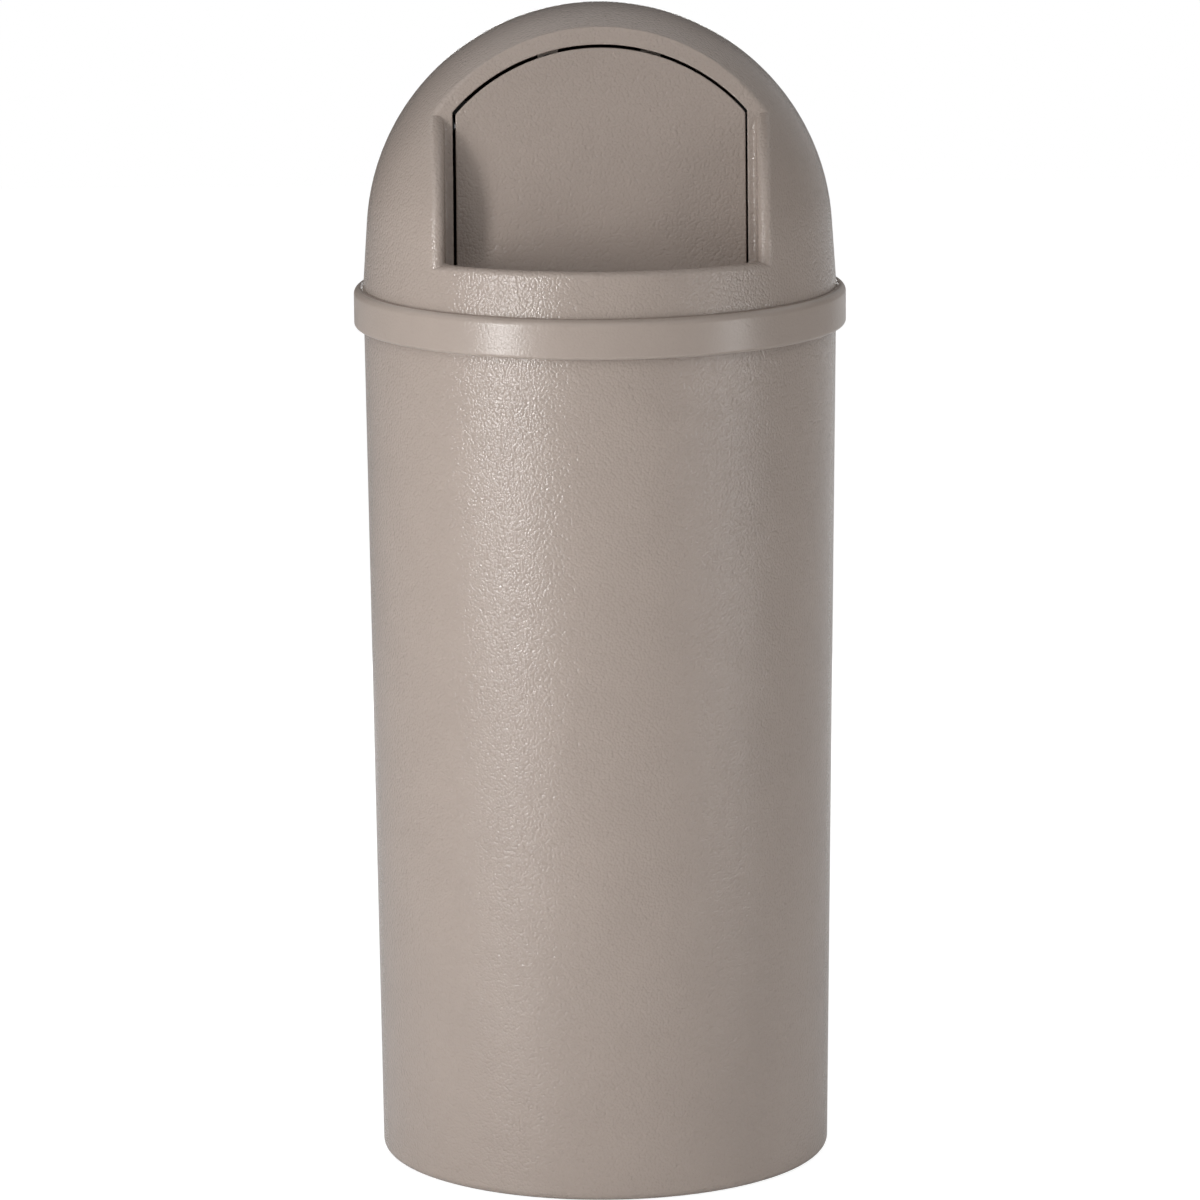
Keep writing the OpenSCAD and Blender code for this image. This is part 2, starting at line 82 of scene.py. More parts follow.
def round_axis(azimuth: float, radius: float, z: float) -> Vector:
    """Return the point at an azimuth from the front, in radians, a radius and a height."""
    return Vector((radius * math.sin(azimuth), -radius * math.cos(azimuth), z))


# ---- sizes that pieces share ----


@dataclass(frozen=True)
class DomeSurface:
    """The hood's outer surface: a sphere that runs smoothly into a drafted wall.

    Attributes:
        radius: Radius of the sphere.
        centre_z: Height of the sphere's centre.
        draft: Draft of the wall under it, in radians.
    """

    radius: float
    centre_z: float
    draft: float

    @property
    def edge_r(self) -> float:
        """Radius of the circle where the sphere meets the wall."""
        return self.radius * math.cos(self.draft)

    @property
    def edge_z(self) -> float:
        """Height of that circle."""
        return self.centre_z + self.radius * math.sin(self.draft)

    def inset(self, depth: float) -> "DomeSurface":
        """Return the surface that lies a depth inside this one."""
        return DomeSurface(self.radius - depth, self.centre_z, self.draft)

    def radius_at(self, z: float) -> float:
        """Return the radius at a height."""
        if z >= self.edge_z:
            return math.sqrt(max(self.radius**2 - (z - self.centre_z) ** 2, 0.0))
        return self.edge_r + (self.edge_z - z) * math.tan(self.draft)

    def normal(self, point: Vector) -> Vector:
        """Return the outward normal over a point near the surface."""
        if point.z >= self.edge_z:
            return (point - Vector((0, 0, self.centre_z))).normalized()
        flat = Vector((point.x, point.y, 0)).normalized()
        return flat * math.cos(self.draft) + Vector((0, 0, math.sin(self.draft)))

    def reach(self, direction: Vector) -> Vector:
        """Return where a line from the sphere's centre leaves the surface.

        Args:
            direction: Unit direction of the line.

        Returns:
            The point on the surface.
        """
        point = direction * self.radius
        point.z += self.centre_z
        if point.z >= self.edge_z:
            return point
        slope = math.tan(self.draft)
        flat = math.hypot(direction.x, direction.y)
        length = (self.edge_r + (self.edge_z - self.centre_z) * slope) / (flat + direction.z * slope)
        return direction * length + Vector((0, 0, self.centre_z))


@dataclass(frozen=True)
class Plan:
    """Driving sizes of the receptacle, as the construction has them, in millimetres.

    The three overall sizes are read from the frame; the rest repeat the construction. Names end in
    _r for a radius, _d for a diameter, _t for a thickness, _w for a width, _h for a height, _l for a
    length, _x for a distance from the middle and _u for a height on the doorway.
    """

    overall_h: float
    skirt_r: float
    container_h: float
    # Hood and skirt
    hood_wall: float = 3.0
    skirt_wall: float = 3.2
    hood_draft: float = math.radians(4.0)
    crease_step: float = 7.45
    skirt_h: float = 30.6
    seat_drop: float = 5.0
    shoulder_r: float = 5.5
    skirt_edge_r: float = 3.0
    # Doorway
    door_lean: float = math.radians(9.0)
    door_setback: float = 91.9
    arch_band: float = 13.7
    arch_drop: float = 6.5
    shoulder_angle: float = math.radians(48.65)
    jamb_ledge: float = 6.5
    opening_corner_r: float = 2.5
    lip_rise: float = 36.0
    lip_edge_r: float = 5.0
    sill_drop: float = 16.5
    # Door
    door_t: float = 3.0
    door_depth: float = 10.0
    door_rib_t: float = 2.5
    side_gap: float = 1.9
    arch_gap: float = 2.5
    sill_gap: float = 3.0
    door_corner_r: float = 5.0
    side_play: float = 0.45
    rib_inset: float = 25.0
    boss_d: float = 13.0
    boss_l: float = 13.0
    # Hinge and springs
    hinge_drop: float = 10.4
    hinge_depth: float = 10.0
    rod_d: float = 6.0
    rod_gap: float = 0.07
    spring_space: float = 2.0
    wire_d: float = 1.6
    coil_r: float = 5.2
    coil_pitch: float = 2.3
    coil_turns: int = 6
    arm_gap: float = 0.4
    arm_reach: float = 38.0
    arm_foot: float = 6.0
    # Gaps between pieces that slide, meet or press
    free_gap: float = 0.3
    end_gap: float = 0.1
    push_gap: float = 0.02
    # Washers, bushes, brackets and screws
    washer_t: float = 1.1
    bush_flange_t: float = 1.6
    ear_r: float = 8.5
    bracket_t: float = 2.0
    screw_d: float = 3.0
    screw_l: float = 9.0
    screw_inset: float = 3.4
    screw_below: float = 8.0
    screw_above: float = 6.0
    # Lugs and bumpers
    lug_t: float = 3.0
    lug_w: float = 16.0
    bumper_x: float = 40.0
    bumper_edge: float = 2.0
    bumper_t: float = 2.7
    stem_d: float = 5.0

    @property
    def crease_z(self) -> float:
        """Height of the crease over the skirt."""
        return self.container_h + self.seat_drop

    @property
    def crease_r(self) -> float:
        """Radius of that crease."""
        return self.skirt_r - self.crease_step

    @property
    def skirt_low_z(self) -> float:
        """Height of the skirt's lower edge."""
        return self.crease_z - self.skirt_h

    @property
    def lip_z(self) -> float:
        """Height of the lip at the doorway's foot."""
        return self.crease_z + self.lip_rise

    @property
    def dome(self) -> DomeSurface:
        """The hood's outer surface."""
        slope, rise = math.tan(self.hood_draft), math.sin(self.hood_draft)
        radius = (self.crease_r - (self.overall_h - self.crease_z) * slope) / (
            math.cos(self.hood_draft) - (1 - rise) * slope
        )
        return DomeSurface(radius, self.overall_h - radius, self.hood_draft)

    @property
    def crest_r(self) -> float:
        """Radius of the circle in which the doorway's plane cuts the dome."""
        return math.sqrt(self.dome.radius**2 - self.door_setback**2)

    @property
    def opening_r(self) -> float:
        """Radius of the opening's arch."""
        return self.crest_r - self.arch_band + self.arch_drop

    @property
    def opening_half_w(self) -> float:
        """Half the opening's width."""
        return self.opening_r * math.sin(self.shoulder_angle)

    @property
    def shoulder_u(self) -> float:
        """Height of the opening's shoulders on the doorway."""
        return self.opening_r * math.cos(self.shoulder_angle) - self.arch_drop

    @property
    def jamb_half_w(self) -> float:
        """Distance of the jambs from the middle."""
        return self.opening_half_w + self.jamb_ledge

    @property
    def foot(self) -> Vector:
        """Middle of the doorway's plane: the crest circle's centre."""
        lean = self.door_lean
        return Vector(
            (0, -self.door_setback * math.cos(lean), self.dome.centre_z + self.door_setback * math.sin(lean))
        )

    @property
    def sill_u(self) -> float:
        """Height of the opening's foot on the doorway."""
        return (self.lip_z - self.sill_drop - self.foot.z) / math.cos(self.door_lean)

    @property
    def door_half_w(self) -> float:
        """Half the door's width."""
        return self.opening_half_w - self.side_gap

    @property
    def door_r(self) -> float:
        """Radius of the door's head."""
        return self.opening_r - self.arch_gap

    @property
    def hinge_u(self) -> float:
        """Height of the hinge on the doorway."""
        return self.shoulder_u - self.hinge_drop

    @property
    def spring_x(self) -> float:
        """Place of a spring's outer end, just inboard of the door's boss."""
        return self.door_half_w - self.boss_l - self.spring_space

    @property
    def arm_x(self) -> float:
        """Place where a spring's moving turn begins."""
        return self.spring_x - self.coil_turns * self.coil_pitch - self.wire_d - self.arm_gap

    @property
    def washer_x(self) -> float:
        """Place where the hinge's washers begin."""
        return self.door_half_w + self.side_play + self.end_gap

    @property
    def bush_x(self) -> float:
        """Place where the hinge's bushes begin."""
        return self.washer_x + self.washer_t + self.end_gap

    @property
    def ear_x(self) -> float:
        """Place of the brackets' ears."""
        return self.bush_x + self.bush_flange_t

    @property
    def bracket_face(self) -> float:
        """Depth of the brackets' front face."""
        return self.hinge_depth + self.coil_r - self.wire_d / 2 - self.end_gap - self.bracket_t

    @property
    def screw_places(self) -> list[Spot]:
        """Places (x, u) of the right bracket's screws, the lower first."""
        x = self.ear_x + self.screw_inset
        return [
            (x, self.hinge_u - self.ear_r - self.screw_below),
            (x, self.hinge_u + self.ear_r + self.screw_above),
        ]

    @property
    def lug_depth(self) -> float:
        """Depth of the back of the lugs that hold the bumpers."""
        return self.door_depth + self.free_gap + self.bumper_t + self.lug_t

    @property
    def bumper_u(self) -> float:
        """Height of the bumpers on the doorway."""
        head = math.sqrt(self.door_r**2 - self.bumper_x**2) - self.arch_drop
        return head - self.door_rib_t - self.bumper_edge

    @property
    def up(self) -> Vector:
        """Direction up the doorway."""
        return Vector((0, math.sin(self.door_lean), math.cos(self.door_lean)))

    @property
    def out(self) -> Vector:
        """Direction out of the doorway's face."""
        return Vector((0, -math.cos(self.door_lean), math.sin(self.door_lean)))

    def on_doorway(self, x: float, u: float, n: float) -> Vector:
        """Return the point at x across, u up and n out of the doorway's face."""
        return self.foot + Vector((x, 0, 0)) + self.up * u + self.out * n


def read_plan() -> Plan:
    """Return the plan with its overall sizes read from the frame."""
    hood_low, hood_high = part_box("dome_top")
    _, tub_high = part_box("container_body")
    return Plan(hood_high.z / MM, (hood_high.x - hood_low.x) / 2 / MM, tub_high.z / MM)


# ---- outlines ----


def arc(centre: Spot, radius: float, start: float, end: float, steps: int) -> Outline:
    """Return points on an arc.

    Args:
        centre: Centre of the arc.
        radius: Its radius.
        start: First angle, in radians.
        end: Last angle, in radians.
        steps: Number of stretches.

    Returns:
        The steps + 1 points.
    """
    turns = [blend(start, end, s) for s in spaced(steps)]
    return [(centre[0] + radius * math.cos(turn), centre[1] + radius * math.sin(turn)) for turn in turns]


def filleted(corners: Sequence[Corner], steps: int = 5) -> Outline:
    """Round the corners of a closed outline.

    Args:
        corners: Place and radius of each corner, in order; a radius of 0 stays sharp.
        steps: Number of stretches in each round.

    Returns:
        The points of the rounded outline.
    """
    points: Outline = []
    for i, (x, y, radius) in enumerate(corners):
        here = Vector((x, y))
        if not radius:
            points.append((x, y))
            continue
        back = (Vector(corners[i - 1][:2]) - here).normalized()
        ahead = (Vector(corners[(i + 1) % len(corners)][:2]) - here).normalized()
        half = back.angle(ahead) / 2
        centre = here + (back + ahead).normalized() * (radius / math.sin(half))
        first = here + back * (radius / math.tan(half)) - centre
        turn = first.angle_signed(here + ahead * (radius / math.tan(half)) - centre)
        start = math.atan2(first.y, first.x)
        points += arc((centre.x, centre.y), radius, start, start - turn, steps)
    return points


def arched(half_w: float, head_r: float, drop: float, low: float, corner_r: float) -> Outline:
    """Return an outline with upright sides, a flat foot, an arched head and round shoulders.

    Args:
        half_w: Half the width.
        head_r: Radius of the head.
        drop: How far the head's centre lies below the origin.
        low: Height of the foot.
        corner_r: Radius of the shoulders.

    Returns:
        The points, from the right foot round the head to the left foot.
    """
    corner_steps, head_steps = 8, 72
    corner_x = half_w - corner_r
    corner_u = math.sqrt((head_r - corner_r) ** 2 - corner_x**2)
    lean = math.atan2(corner_u, corner_x)
    right = [(half_w, low)] + arc((corner_x, corner_u - drop), corner_r, 0, lean, corner_steps)
    head = arc((0, -drop), head_r, lean, math.pi - lean, head_steps)[1:-1]
    return right + head + [(-x, u) for x, u in reversed(right)]


# ---- the workbench: modelling steps ----


class Workbench:
    """Modelling steps on one mesh at a time, as by hand.

    Attributes:
        MERGE: Distance under which points are doubles, in metres.
        FINE_MERGE: The same where a mesh has finer stretches.
    """

    MERGE = 1e-6
    FINE_MERGE = 1e-7

    @staticmethod
    def take(*pieces: bpy.types.Object) -> None:
        """Select these pieces alone; the first is the active one."""
        bpy.ops.object.select_all(action="DESELECT")
        for piece in pieces:
            piece.select_set(True)
        if pieces:
            bpy.context.view_layer.objects.active = pieces[0]

    @staticmethod
    @contextmanager
    def editing(piece: bpy.types.Object) -> Iterator[None]:
        """Keep a piece in edit mode for the length of a with block."""
        Workbench.take(piece)
        bpy.ops.object.mode_set(mode="EDIT")
        yield
        bpy.ops.object.mode_set(mode="OBJECT")

    @staticmethod
    def mark_edges(piece: bpy.types.Object, test: Callable[[Vector, Vector], bool]) -> None:
        """Select the edges that a test picks, in edit mode.

        Args:
            piece: The piece, in edit mode.
            test: Says yes or no to an edge's two ends, in metres.
        """
        bpy.ops.mesh.select_mode(type="EDGE")
        bpy.ops.mesh.select_all(action="DESELECT")
        mesh = bmesh.from_edit_mesh(piece.data)
        for edge in mesh.edges:
            edge.select_set(test(edge.verts[0].co, edge.verts[1].co))
        mesh.select_flush_mode()
        bmesh.update_edit_mesh(piece.data)

    @staticmethod
    def ring(name: str, points: Sequence[Vector], filled: bool = False) -> bpy.types.Object:
        """Make a closed ring of edges through points.

        Args:
            name: Name of the new piece.
            points: Points of the ring, in metres.
            filled: Whether a face fills it.

        Returns:
            The new piece.
        """
        bpy.ops.object.select_all(action="DESELECT")
        bpy.ops.mesh.primitive_circle_add(vertices=len(points), fill_type="NGON" if filled else "NOTHING")
        piece = bpy.context.object
        piece.name = piece.data.name = name
        Workbench.lay(piece, points)
        return piece

    @staticmethod
    def lay(piece: bpy.types.Object, points: Sequence[Vector]) -> None:
        """Put each vertex of a piece at its own point, in metres."""
        piece.data.vertices.foreach_set("co", [c for point in points for c in point])
        piece.data.update()

    @staticmethod
    def turned(
        name: str, outline: Outline, origin: Vector, axis: Vector, steps: int = 64, closed: bool = True
    ) -> bpy.types.Object:
        """Turn an outline round an axis, as on a lathe.

        Args:
            name: Name of the new piece.
            outline: Points (radius, place along the axis), in millimetres.
            origin: A point on the axis, in millimetres.
            axis: Unit direction of the axis.
            steps: Number of steps round it.
            closed: False where the outline starts and ends on the axis.

        Returns:
            The new piece.
        """
        side = axis.orthogonal().normalized()
        points = [(origin + side * r + axis * a) * MM for r, a in outline]
        piece = Workbench.ring(name, points)
        with Workbench.editing(piece):
            if not closed:
                ends = (points[0], points[-1])
                Workbench.mark_edges(
                    piece,
                    lambda *pair: all(min((p - q).length for q in ends) < Workbench.FINE_MERGE for p in pair),
                )
                bpy.ops.mesh.delete(type="EDGE")
            bpy.ops.mesh.select_all(action="SELECT")
            bpy.ops.mesh.spin(steps=steps, angle=2 * math.pi, center=origin * MM, axis=axis)
        Workbench.close(piece)
        return piece

    @staticmethod
    def close(piece: bpy.types.Object, gap: float = MERGE) -> None:
        """Merge doubles and turn every face outwards."""
        with Workbench.editing(piece):
            bpy.ops.mesh.select_all(action="SELECT")
            bpy.ops.mesh.remove_doubles(threshold=gap)
            bpy.ops.mesh.normals_make_consistent(inside=False)

    @staticmethod
    def block(
        name: str, low: Vector, high: Vector, place: Callable[[float, float, float], Vector], edge: float
    ) -> bpy.types.Object:
        """Make a block with round edges in a frame of its own.

        Args:
            name: Name of the new piece.
            low: Lowest corner, in millimetres.
            high: Highest corner, in millimetres.
            place: Gives the point in space of a point in that frame.
            edge: Radius of the edges, in millimetres.

        Returns:
            The new piece.
        """
        bpy.ops.object.select_all(action="DESELECT")
        bpy.ops.mesh.primitive_cube_add(size=1, location=(0, 0, 0))
        piece = bpy.context.object
        piece.name = piece.data.name = name
        corners = [
            [blend(*ends, along + 0.5) for *ends, along in zip(low, high, corner.co)]
            for corner in piece.data.vertices
        ]
        Workbench.lay(piece, [place(*corner) * MM for corner in corners])
        Workbench.close(piece)
        with Workbench.editing(piece):
            bpy.ops.mesh.select_all(action="SELECT")
            bpy.ops.mesh.bevel(offset=edge * MM, segments=3, affect="EDGES")
        return piece

    @staticmethod
    def prism(name: str, points: Sequence[Vector], through: Vector) -> bpy.types.Object:
        """Fill a ring of points and draw the face out to a prism.

        Args:
            name: Name of the new piece.
            points: Points of the ring, in millimetres.
            through: Way that the face is drawn, in millimetres.

        Returns:
            The new piece.
        """
        piece = Workbench.ring(name, [p * MM for p in points], filled=True)
        with Workbench.editing(piece):
            bpy.ops.mesh.select_all(action="SELECT")
            bpy.ops.mesh.extrude_region_move(TRANSFORM_OT_translate={"value": through * MM})
        Workbench.close(piece, Workbench.FINE_MERGE)
        return piece

    @staticmethod
    def cut(piece: bpy.types.Object, *tools: bpy.types.Object) -> None:
        """Cut the room of each tool out of a piece, and take the tools away."""
        for tool in tools:
            Workbench.take(piece)
            bpy.ops.object.modifier_add(type="BOOLEAN")
            piece.modifiers[-1].object = tool
            piece.modifiers[-1].operation = "DIFFERENCE"
            bpy.ops.object.modifier_apply(modifier=piece.modifiers[-1].name)
            bpy.data.objects.remove(tool)

    @staticmethod
    def soften(piece: bpy.types.Object, edge: float, angle: float = 40.0) -> None:
        """Round the edges of a piece that turn by more than an angle.

        Args:
            piece: The piece.
            edge: Radius, in millimetres.
            angle: The angle, in degrees.
        """
        Workbench.take(piece)
        bpy.ops.object.modifier_add(type="BEVEL")
        piece.modifiers[-1].width = edge * MM
        piece.modifiers[-1].segments = 2
        piece.modifiers[-1].angle_limit = math.radians(angle)
        bpy.ops.object.modifier_apply(modifier=piece.modifiers[-1].name)

    @staticmethod
    def join(name: str, pieces: Sequence[bpy.types.Object]) -> bpy.types.Object:
        """Join pieces into one mesh and name it."""
        Workbench.take(*pieces)
        bpy.ops.object.join()
        piece = bpy.context.object
        piece.name = piece.data.name = name
        return piece

    @staticmethod
    def smooth(piece: bpy.types.Object, angle: float = math.radians(35)) -> None:
        """Shade a piece smooth, with edges over an angle sharp and broad faces flat."""
        Workbench.take(piece)
        bpy.ops.object.shade_smooth_by_angle(angle=angle)
        bpy.ops.object.modifier_add(type="WEIGHTED_NORMAL")
        piece.modifiers[-1].keep_sharp = True
        bpy.ops.object.modifier_apply(modifier=piece.modifiers[-1].name)

    @staticmethod
    def wire(name: str, points: Sequence[Vector], diameter: float) -> bpy.types.Object:
        """Make a round wire along points.

        Args:
            name: Name of the new piece.
            points: Points that the wire follows, in millimetres.
            diameter: Diameter of the wire, in millimetres.

        Returns:
            The new piece, a mesh.
        """
        bpy.ops.object.select_all(action="DESELECT")
        bpy.ops.curve.primitive_nurbs_path_add()
        path = bpy.context.object
        path.data.splines.clear()
        line = path.data.splines.new("POLY")
        line.points.add(len(points) - 1)
        for knot, point in zip(line.points, points):
            knot.co = (*(point * MM), 1)
        path.data.bevel_depth = diameter / 2 * MM
        path.data.bevel_resolution = 3
        path.data.use_fill_caps = True
        Workbench.take(path)
        bpy.ops.object.convert(target="MESH")
        piece = bpy.context.object
        piece.name = piece.data.name = name
        Workbench.close(piece)
        return piece


# ---- finishes ----


class Wire:
    """A number on its way between shader nodes, which Python's operators act on."""

    def __init__(self, nodes: "Nodes", socket: bpy.types.NodeSocket) -> None:
        """Wrap an output socket of a node."""
        self.nodes = nodes
        self.socket = socket

    def _maths(self, operation: str, left: "Value", right: "Value") -> "Wire":
        """Return the result of a Math node on two values."""
        return self.nodes.wire(0, "ShaderNodeMath", {"operation": operation}, {0: left, 1: right})

    def __add__(self, other: "Value") -> "Wire":
        """Add a value."""
        return self._maths("ADD", self, other)

    def __radd__(self, other: "Value") -> "Wire":
        """Add to a value."""
        return self._maths("ADD", other, self)

    def __sub__(self, other: "Value") -> "Wire":
        """Take a value away."""
        return self._maths("SUBTRACT", self, other)

    def __rsub__(self, other: "Value") -> "Wire":
        """Take from a value."""
        return self._maths("SUBTRACT", other, self)

    def __mul__(self, other: "Value") -> "Wire":
        """Multiply by a value."""
        return self._maths("MULTIPLY", self, other)

    def __rmul__(self, other: "Value") -> "Wire":
        """Multiply a value."""
        return self._maths("MULTIPLY", other, self)


Value = Wire | float | tuple[float, ...]


class Nodes:
    """A node tree that is put together node by node."""

    def __init__(self, tree: bpy.types.NodeTree) -> None:
        """Take a tree."""
        self.tree = tree

    def node(self, kind: str, settings: dict, sockets: dict) -> bpy.types.Node:
        """Add a node.

        Args:
            kind: Type of the node.
            settings: Its settings; "stops" holds a ramp's places and colours.
            sockets: Value or Wire for each input socket, by name or number.

        Returns:
            The node.
        """
        made = self.tree.nodes.new(kind)
        for name, value in settings.items():
            if name == "stops":
                ramp = made.color_ramp
                while len(ramp.elements) < len(value):
                    ramp.elements.new(1)
                for stop, (place, colour) in zip(ramp.elements, value):
                    stop.position, stop.color = place, colour
            else:
                setattr(made, name, value)
        for name, value in sockets.items():
            self.plug(made.inputs[name], value)
        return made

    def wire(self, output: str | int, kind: str, settings: dict, sockets: dict) -> Wire:
        """Add a node, as node() does, and return one of its outputs, by name or number."""
        return Wire(self, self.node(kind, settings, sockets).outputs[output])

    def plug(self, socket: bpy.types.NodeSocket, value: Value) -> None:
        """Link a Wire to an input socket, or set a plain value there."""
        if isinstance(value, Wire):
            self.tree.links.new(value.socket, socket)
        else:
            socket.default_value = value


class Shader(Nodes):
    """A material's nodes, with its principled surface ready."""

    def __init__(self, name: str) -> None:
        """Start a material of that name."""
        self.material = bpy.data.materials.new(name)
        self.material.use_nodes = True
        super().__init__(self.material.node_tree)
        self.surface = self.tree.nodes["Principled BSDF"]
        self.place = self.wire("Object", "ShaderNodeTexCoord", {}, {})

    def noise(self, size: float, detail: float = 2.0, rough: float = 0.5, place: Wire | None = None) -> Wire:
        """Return a noise.

        Args:
            size: Rough size of its grains, in millimetres.
            detail: Number of finer layers.
            rough: Share of the finer layers.
            place: Coordinates that it follows; the object's own where None.

        Returns:
            The noise, about 0.5 on average.
        """
        return self.wire(
            0,
            "ShaderNodeTexNoise",
            {"noise_dimensions": "3D"},
            {"Vector": place or self.place, "Scale": 1 / (size * MM), "Detail": detail, "Roughness": rough},
        )

    def pebbles(self, size: float) -> Wire:
        """Return a height that swells in round grains about a size in millimetres."""
        drift = self.noise(size * 1.3, 1.0)
        place = self.wire(
            0,
            "ShaderNodeVectorMath",
            {"operation": "MULTIPLY_ADD"},
            {0: drift, 1: (size * MM * 0.5,) * 3, 2: self.place},
        )
        reach = self.wire(
            "Distance",
            "ShaderNodeTexVoronoi",
            {"voronoi_dimensions": "3D", "feature": "F1"},
            {"Vector": place, "Scale": 1 / (size * MM)},
        )
        return 1 - reach * reach

    def above(self, z: float, width: float) -> Wire:
        """Return 0 below a height and 1 above it, with a slope of a width, all in millimetres."""
        level = self.wire("Z", "ShaderNodeSeparateXYZ", {}, {0: self.place})
        ends = {"From Min": z * MM, "From Max": (z + width) * MM}
        return self.wire("Result", "ShaderNodeMapRange", {}, {"Value": level, **ends})

    def tint(self, value: Wire, colour: Colour, dark: float, light: float) -> Wire:
        """Return a colour that a value moves between two levels.

        Args:
            value: The value; 0.3 gives the dark level and 0.7 the light one.
            colour: Screen colour, 0 to 255.
            dark: What the colour is multiplied by at its darkest.
            light: The same at its lightest.

        Returns:
            The colour.
        """
        stops = [(0.3, linear(*colour, dark)), (0.7, linear(*colour, light))]
        return self.wire("Color", "ShaderNodeValToRGB", {"stops": stops}, {"Fac": value})

    def bump(self, height: Wire, depth: float) -> Wire:
        """Return a normal that follows a height, depth millimetres at most."""
        return self.wire("Normal", "ShaderNodeBump", {}, {"Height": height, "Distance": depth * MM})

    def stretched(self, factors: tuple[float, float, float]) -> Wire:
        """Return Object coordinates scaled by factors."""
        return self.wire(0, "ShaderNodeMapping", {}, {"Vector": self.place, "Scale": factors})

    def finish(self, **sockets: Value) -> bpy.types.Material:
        """Set the surface's sockets, words joined by _, and return the material."""
        for name, value in sockets.items():
            self.plug(self.surface.inputs[name.replace("_", " ")], value)
        return self.material


def linear(red: float, green: float, blue: float, level: float = 1.0) -> tuple[float, float, float, float]:
    """Turn an 8-bit screen colour into a linear one, multiplied by a level, with an alpha of 1."""
    return (*(level * ((c / 255 + 0.055) / 1.055) ** 2.4 for c in (red, green, blue)), 1.0)


@dataclass(frozen=True)
class GrainedPlastic:
    """Moulded plastic with a fine pebbled grain that sparkles in a highlight.

    Attributes:
        name: Name of the material.
        colour: Screen colour, 0 to 255.
        grain: Size of the grain's pebbles, in millimetres.
        depth: Depth of the grain, in millimetres.
        gloss: Roughness between the pebbles.
        calm_z: Height under which the grain is shallow, in millimetres.
        calm_share: How much of the grain's depth is left there.
        calm_gloss: Roughness added there.
        fade: Height over which the grain gets its full depth, in millimetres.
        cloud: Size of the broad patches of tint and gloss, in millimetres.
        cloud_gloss: Roughness that the patches add at most.
        levels: What the colour is multiplied by at its darkest and lightest.
    """

    name: str
    colour: Colour
    grain: float = 2.1
    depth: float = 0.42
    gloss: float = 0.14
    calm_z: float = 0.0
    calm_share: float = 0.3
    calm_gloss: float = 0.12
    fade: float = 1.0
    cloud: float = 60.0
    cloud_gloss: float = 0.06
    levels: tuple[float, float] = (0.97, 1.03)

    def material(self) -> bpy.types.Material:
        """Build the material."""
        shader = Shader(self.name)
        pebbles = shader.pebbles(self.grain)
        cloud = shader.noise(self.cloud, 3.0)
        height, gloss = pebbles, self.gloss + cloud * self.cloud_gloss
        if self.calm_z:
            calm = 1 - shader.above(self.calm_z, self.fade)
            height = pebbles * (1 - calm * (1 - self.calm_share))
            gloss = gloss + calm * self.calm_gloss
        tint = shader.tint(pebbles * 0.2 + cloud * 0.8, self.colour, *self.levels)
        return shader.finish(Base_Color=tint, Roughness=gloss, Normal=shader.bump(height, self.depth))


@dataclass(frozen=True)
class PlatedSteel:
    """Bright zinc plate with a soft mottle.

    Attributes:
        name: Name of the material.
        colour: Screen colour, 0 to 255.
        gloss: Roughness.
        drawn: Stretch of the pattern along X, for drawn wire and rod.
        mottle: Size of the mottle's spots, in millimetres.
        mottle_gloss: Roughness that the mottle adds at most.
        depth: Depth of the mottle, in millimetres.
        levels: What the colour is multiplied by at its darkest and lightest.
    """

    name: str
    colour: Colour = (196, 199, 203)
    gloss: float = 0.28
    drawn: float = 1.0
    mottle: float = 1.8
    mottle_gloss: float = 0.16
    depth: float = 0.02
    levels: tuple[float, float] = (0.82, 1.05)

    def material(self) -> bpy.types.Material:
        """Build the material."""
        shader = Shader(self.name)
        mottle = shader.noise(self.mottle, 3.0, 0.6, shader.stretched((1 / self.drawn, 1, 1)))
        return shader.finish(
            Base_Color=shader.tint(mottle, self.colour, *self.levels),
            Metallic=1.0,
            Roughness=self.gloss + mottle * self.mottle_gloss,
            Normal=shader.bump(mottle, self.depth),
        )


@dataclass(frozen=True)
class SmoothMoulding:
    """Small plain dark part, with a fine skin: rubber, or nylon and coated steel whose near-black colour is
    partly painted shade for the gap round the door.

    Attributes:
        name: Name of the material.
        colour: Screen colour, 0 to 255.
        gloss: Roughness.
        depth: Depth of its skin's unevenness, in millimetres.
        skin: Size of that unevenness, in millimetres.
        skin_gloss: Roughness that the skin adds at most.
        levels: What the colour is multiplied by at its darkest and lightest.
    """

    name: str
    colour: Colour
    gloss: float
    depth: float = 0.02
    skin: float = 0.9
    skin_gloss: float = 0.1
    levels: tuple[float, float] = (0.9, 1.08)

    def material(self) -> bpy.types.Material:
        """Build the material."""
        shader = Shader(self.name)
        skin = shader.noise(self.skin, 3.0)
        return shader.finish(
            Base_Color=shader.tint(skin, self.colour, *self.levels),
            Roughness=self.gloss + skin * self.skin_gloss,
            Normal=shader.bump(skin, self.depth),
        )


